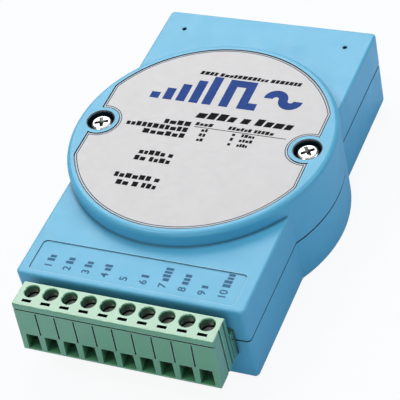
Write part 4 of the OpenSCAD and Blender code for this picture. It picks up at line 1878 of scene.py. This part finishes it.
    def pin_numbers(self) -> None:
        """Print each pole's number on the case's panel, with blocks for its name after it."""
        surface = self.case.case_h - self.case.panel_recess
        foot = -self.case.half_l + self.pin_foot
        ink = Print(surface, seed=3)
        for number, screw in enumerate(self.screws, 1):
            bpy.ops.object.select_all(action="DESELECT")
            bpy.ops.object.text_add(
                location=(screw.middle.x + 1.0, foot, surface - ink.thickness / 2),
                rotation=(0, 0, math.radians(90)),
            )
            text = bpy.context.object
            text.data.body = str(number)
            text.data.size = self.pin_size
            text.data.offset = self.pin_weight
            text.data.extrude = ink.thickness * 1.5
            bpy.ops.object.convert(target="MESH")
            ink.parts.append(Shape.adopt("numeral"))
            reach = foot + (3.6 if number > 9 else 2.2)
            for _ in range(self.pin_words[number - 1]):
                width = ink.dice.uniform(0.7, 0.95)
                left = screw.middle.x - 1.0 + ink.dice.choice((0.0, 0.4))
                ink.bar((left, reach), (screw.middle.x + 1.0, reach + width))
                reach += width + 0.3
        ink.piece("pin_numbers", PIN_INK)


# ---------------------------------------------------------------- inside


@dataclass
class Electronics:
    """The pieces that stay as CAD made them, each with its own finish."""

    finishes: dict[str, Finish] = field(
        default_factory=lambda: {
            "retaining_ring_left": RING_NYLON,
            "retaining_ring_right": RING_NYLON,
            "plug_contacts": CONTACT_METAL,
            "header_pins": PIN_METAL,
            "circuit_board": BOARD_LAMINATE,
            "isolation_transformer_core": FERRITE,
            "isolation_transformer_winding": WINDING_TAPE,
            "storage_choke": CHOKE_SLEEVE,
            "electrolytic_capacitors": CAPACITOR_SLEEVE,
            "rectifier_diodes": DIODE_EPOXY,
            "microcontroller": CONTROLLER_EPOXY,
            "chip_socket": SOCKET_PLASTIC,
            "crystal": CRYSTAL_CAN,
            "program_memory": CHIP_EPOXY,
            "watchdog_chip": CHIP_EPOXY,
            "converter_chip": CHIP_EPOXY,
            "output_amplifier": CHIP_EPOXY,
            "bus_transceiver": CHIP_EPOXY,
            "optocouplers": OPTOCOUPLER_EPOXY,
            "surge_suppressors": VARISTOR_COATING,
            "resistors": RESISTOR_COATING,
            "ceramic_capacitors": CERAMIC_COATING,
        }
    )

    def dress(self) -> None:
        """Put each finish on its CAD node."""
        for node, finish in self.finishes.items():
            finish.dress(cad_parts[node])
            LOG.info("%s is finished in %s", node, finish.name)


# ---------------------------------------------------------------- studio


@dataclass
class Studio:
    """A pale floor, soft lights and the camera."""

    azimuth: float = 31.68
    elevation: float = 43.64
    roll: float = 14.02
    aim: Triple = (-5.24, 0.21, 3.02)
    distance: float = 428.88
    lens: float = 145.94
    paper_glow: float = 0.92
    sky: tuple[float, float, float, float] = (0.78, 0.9, 1.0, 1.0)
    sky_strength: float = 0.2

    def camera(self) -> None:
        """Set up the camera at its viewing angle."""
        a, e, r = (math.radians(v) for v in (self.azimuth, self.elevation, self.roll))
        back = Vector((math.sin(a) * math.cos(e), -math.cos(a) * math.cos(e), math.sin(e)))
        level = Vector((math.cos(a), math.sin(a), 0.0))
        upright = back.cross(level)
        right = math.cos(r) * level - math.sin(r) * upright
        up = math.cos(r) * upright + math.sin(r) * level
        data = bpy.data.cameras.new("camera")
        data.lens = self.lens
        data.sensor_width = 36.0
        data.clip_start = 0.01
        camera = bpy.data.objects.new("camera", data)
        bpy.context.scene.collection.objects.link(camera)
        place = (Vector(self.aim) + back * self.distance) * MM
        camera.matrix_world = Matrix.Translation(place) @ Matrix((right, up, back)).transposed().to_4x4()
        bpy.context.scene.camera = camera

    def floor(self) -> None:
        """Lay a pale floor under the module."""
        bpy.ops.object.select_all(action="DESELECT")
        bpy.ops.mesh.primitive_plane_add(size=6.0, location=(0, 0, 0))
        floor = bpy.context.object
        floor.name = "floor"
        material = bpy.data.materials.new("floor_paper")
        material.use_nodes = True
        w = Wiring(material.node_tree)
        colour = w.effect(
            Effects.moulded_tone(), Colour=display(208, 222, 240), Patches=0.02, Amount=0.005
        )
        shader = w.add("BsdfPrincipled", {"Base Color": colour.outputs[0], "Roughness": 0.9})
        glow = w.add("Emission", {"Color": (1, 1, 1, 1), "Strength": 1.0})
        seen = w.add("LightPath").outputs["Is Camera Ray"]
        inputs = {0: w.math("MULTIPLY", seen, self.paper_glow), 1: shader.outputs[0]}
        both = w.add("MixShader", {**inputs, 2: glow.outputs[0]})
        w.feed(w.add("OutputMaterial").inputs["Surface"], both.outputs[0])
        floor.data.materials.append(material)

    def _lamp(self, name: str, place: Triple, size: float, power: float, tint: Triple) -> None:
        """Hang a soft square lamp that looks at the module.

        Args:
            name: The lamp's name.
            place: Where it hangs, in metres.
            size: The side of its square, in metres.
            power: Its power in watts.
            tint: Its colour.
        """
        data = bpy.data.lights.new(name, "AREA")
        data.size = size
        data.energy = power
        data.color = tint
        lamp = bpy.data.objects.new(name, data)
        bpy.context.scene.collection.objects.link(lamp)
        lamp.location = place
        lamp.rotation_euler = Vector(place).to_track_quat("Z", "Y").to_euler()

    def lights(self) -> None:
        """Hang the lamps and set the even light all round."""
        white = (1.0, 1.0, 1.0)
        self._lamp("sheen", (-0.34, 0.55, 0.62), 0.6, 4.3, white)
        self._lamp("top", (0.1, 0.1, 0.9), 0.6, 0.9, white)
        self._lamp("side", (0.6, 0.3, 0.6), 0.4, 1.85, (0.7, 0.88, 1.0))
        self._lamp("front", (0.12, -0.8, 0.4), 0.5, 1.5, (0.86, 0.95, 1.0))
        self._lamp("rim", (-0.33, -0.25, 0.77), 0.16, 1.8, white)
        world = bpy.data.worlds.new("studio")
        world.use_nodes = True
        w = Wiring(world.node_tree)
        even = w.add("Background", {"Color": self.sky, "Strength": self.sky_strength})
        backdrop = w.add("Background", {"Color": (1, 1, 1, 1), "Strength": self.paper_glow})
        seen = w.add("LightPath").outputs["Is Camera Ray"]
        both = w.add("MixShader", {0: seen, 1: even.outputs[0], 2: backdrop.outputs[0]})
        w.feed(w.add("OutputWorld").inputs["Surface"], both.outputs[0])
        bpy.context.scene.world = world
        bpy.context.scene.view_settings.view_transform = "Standard"


def main() -> None:
    """Build every sub-assembly in order, then the studio."""
    logging.basicConfig(level=logging.INFO, format="%(name)s: %(message)s")
    studio = Studio()
    studio.camera()
    case = Case()
    case.upper_shell()
    case.lower_shell()
    labels = Labels(case)
    labels.face_film()
    labels.face_print()
    labels.rating_label()
    fasteners = Fasteners(case)
    fasteners.mounting_screws()
    fasteners.case_screws()
    plug = TerminalPlug(case)
    plug.moulding()
    plug.clamp_screws()
    plug.clamp_cages()
    plug.header()
    plug.pin_numbers()
    Electronics().dress()
    studio.floor()
    studio.lights()


if __name__ == "__main__":
    main()
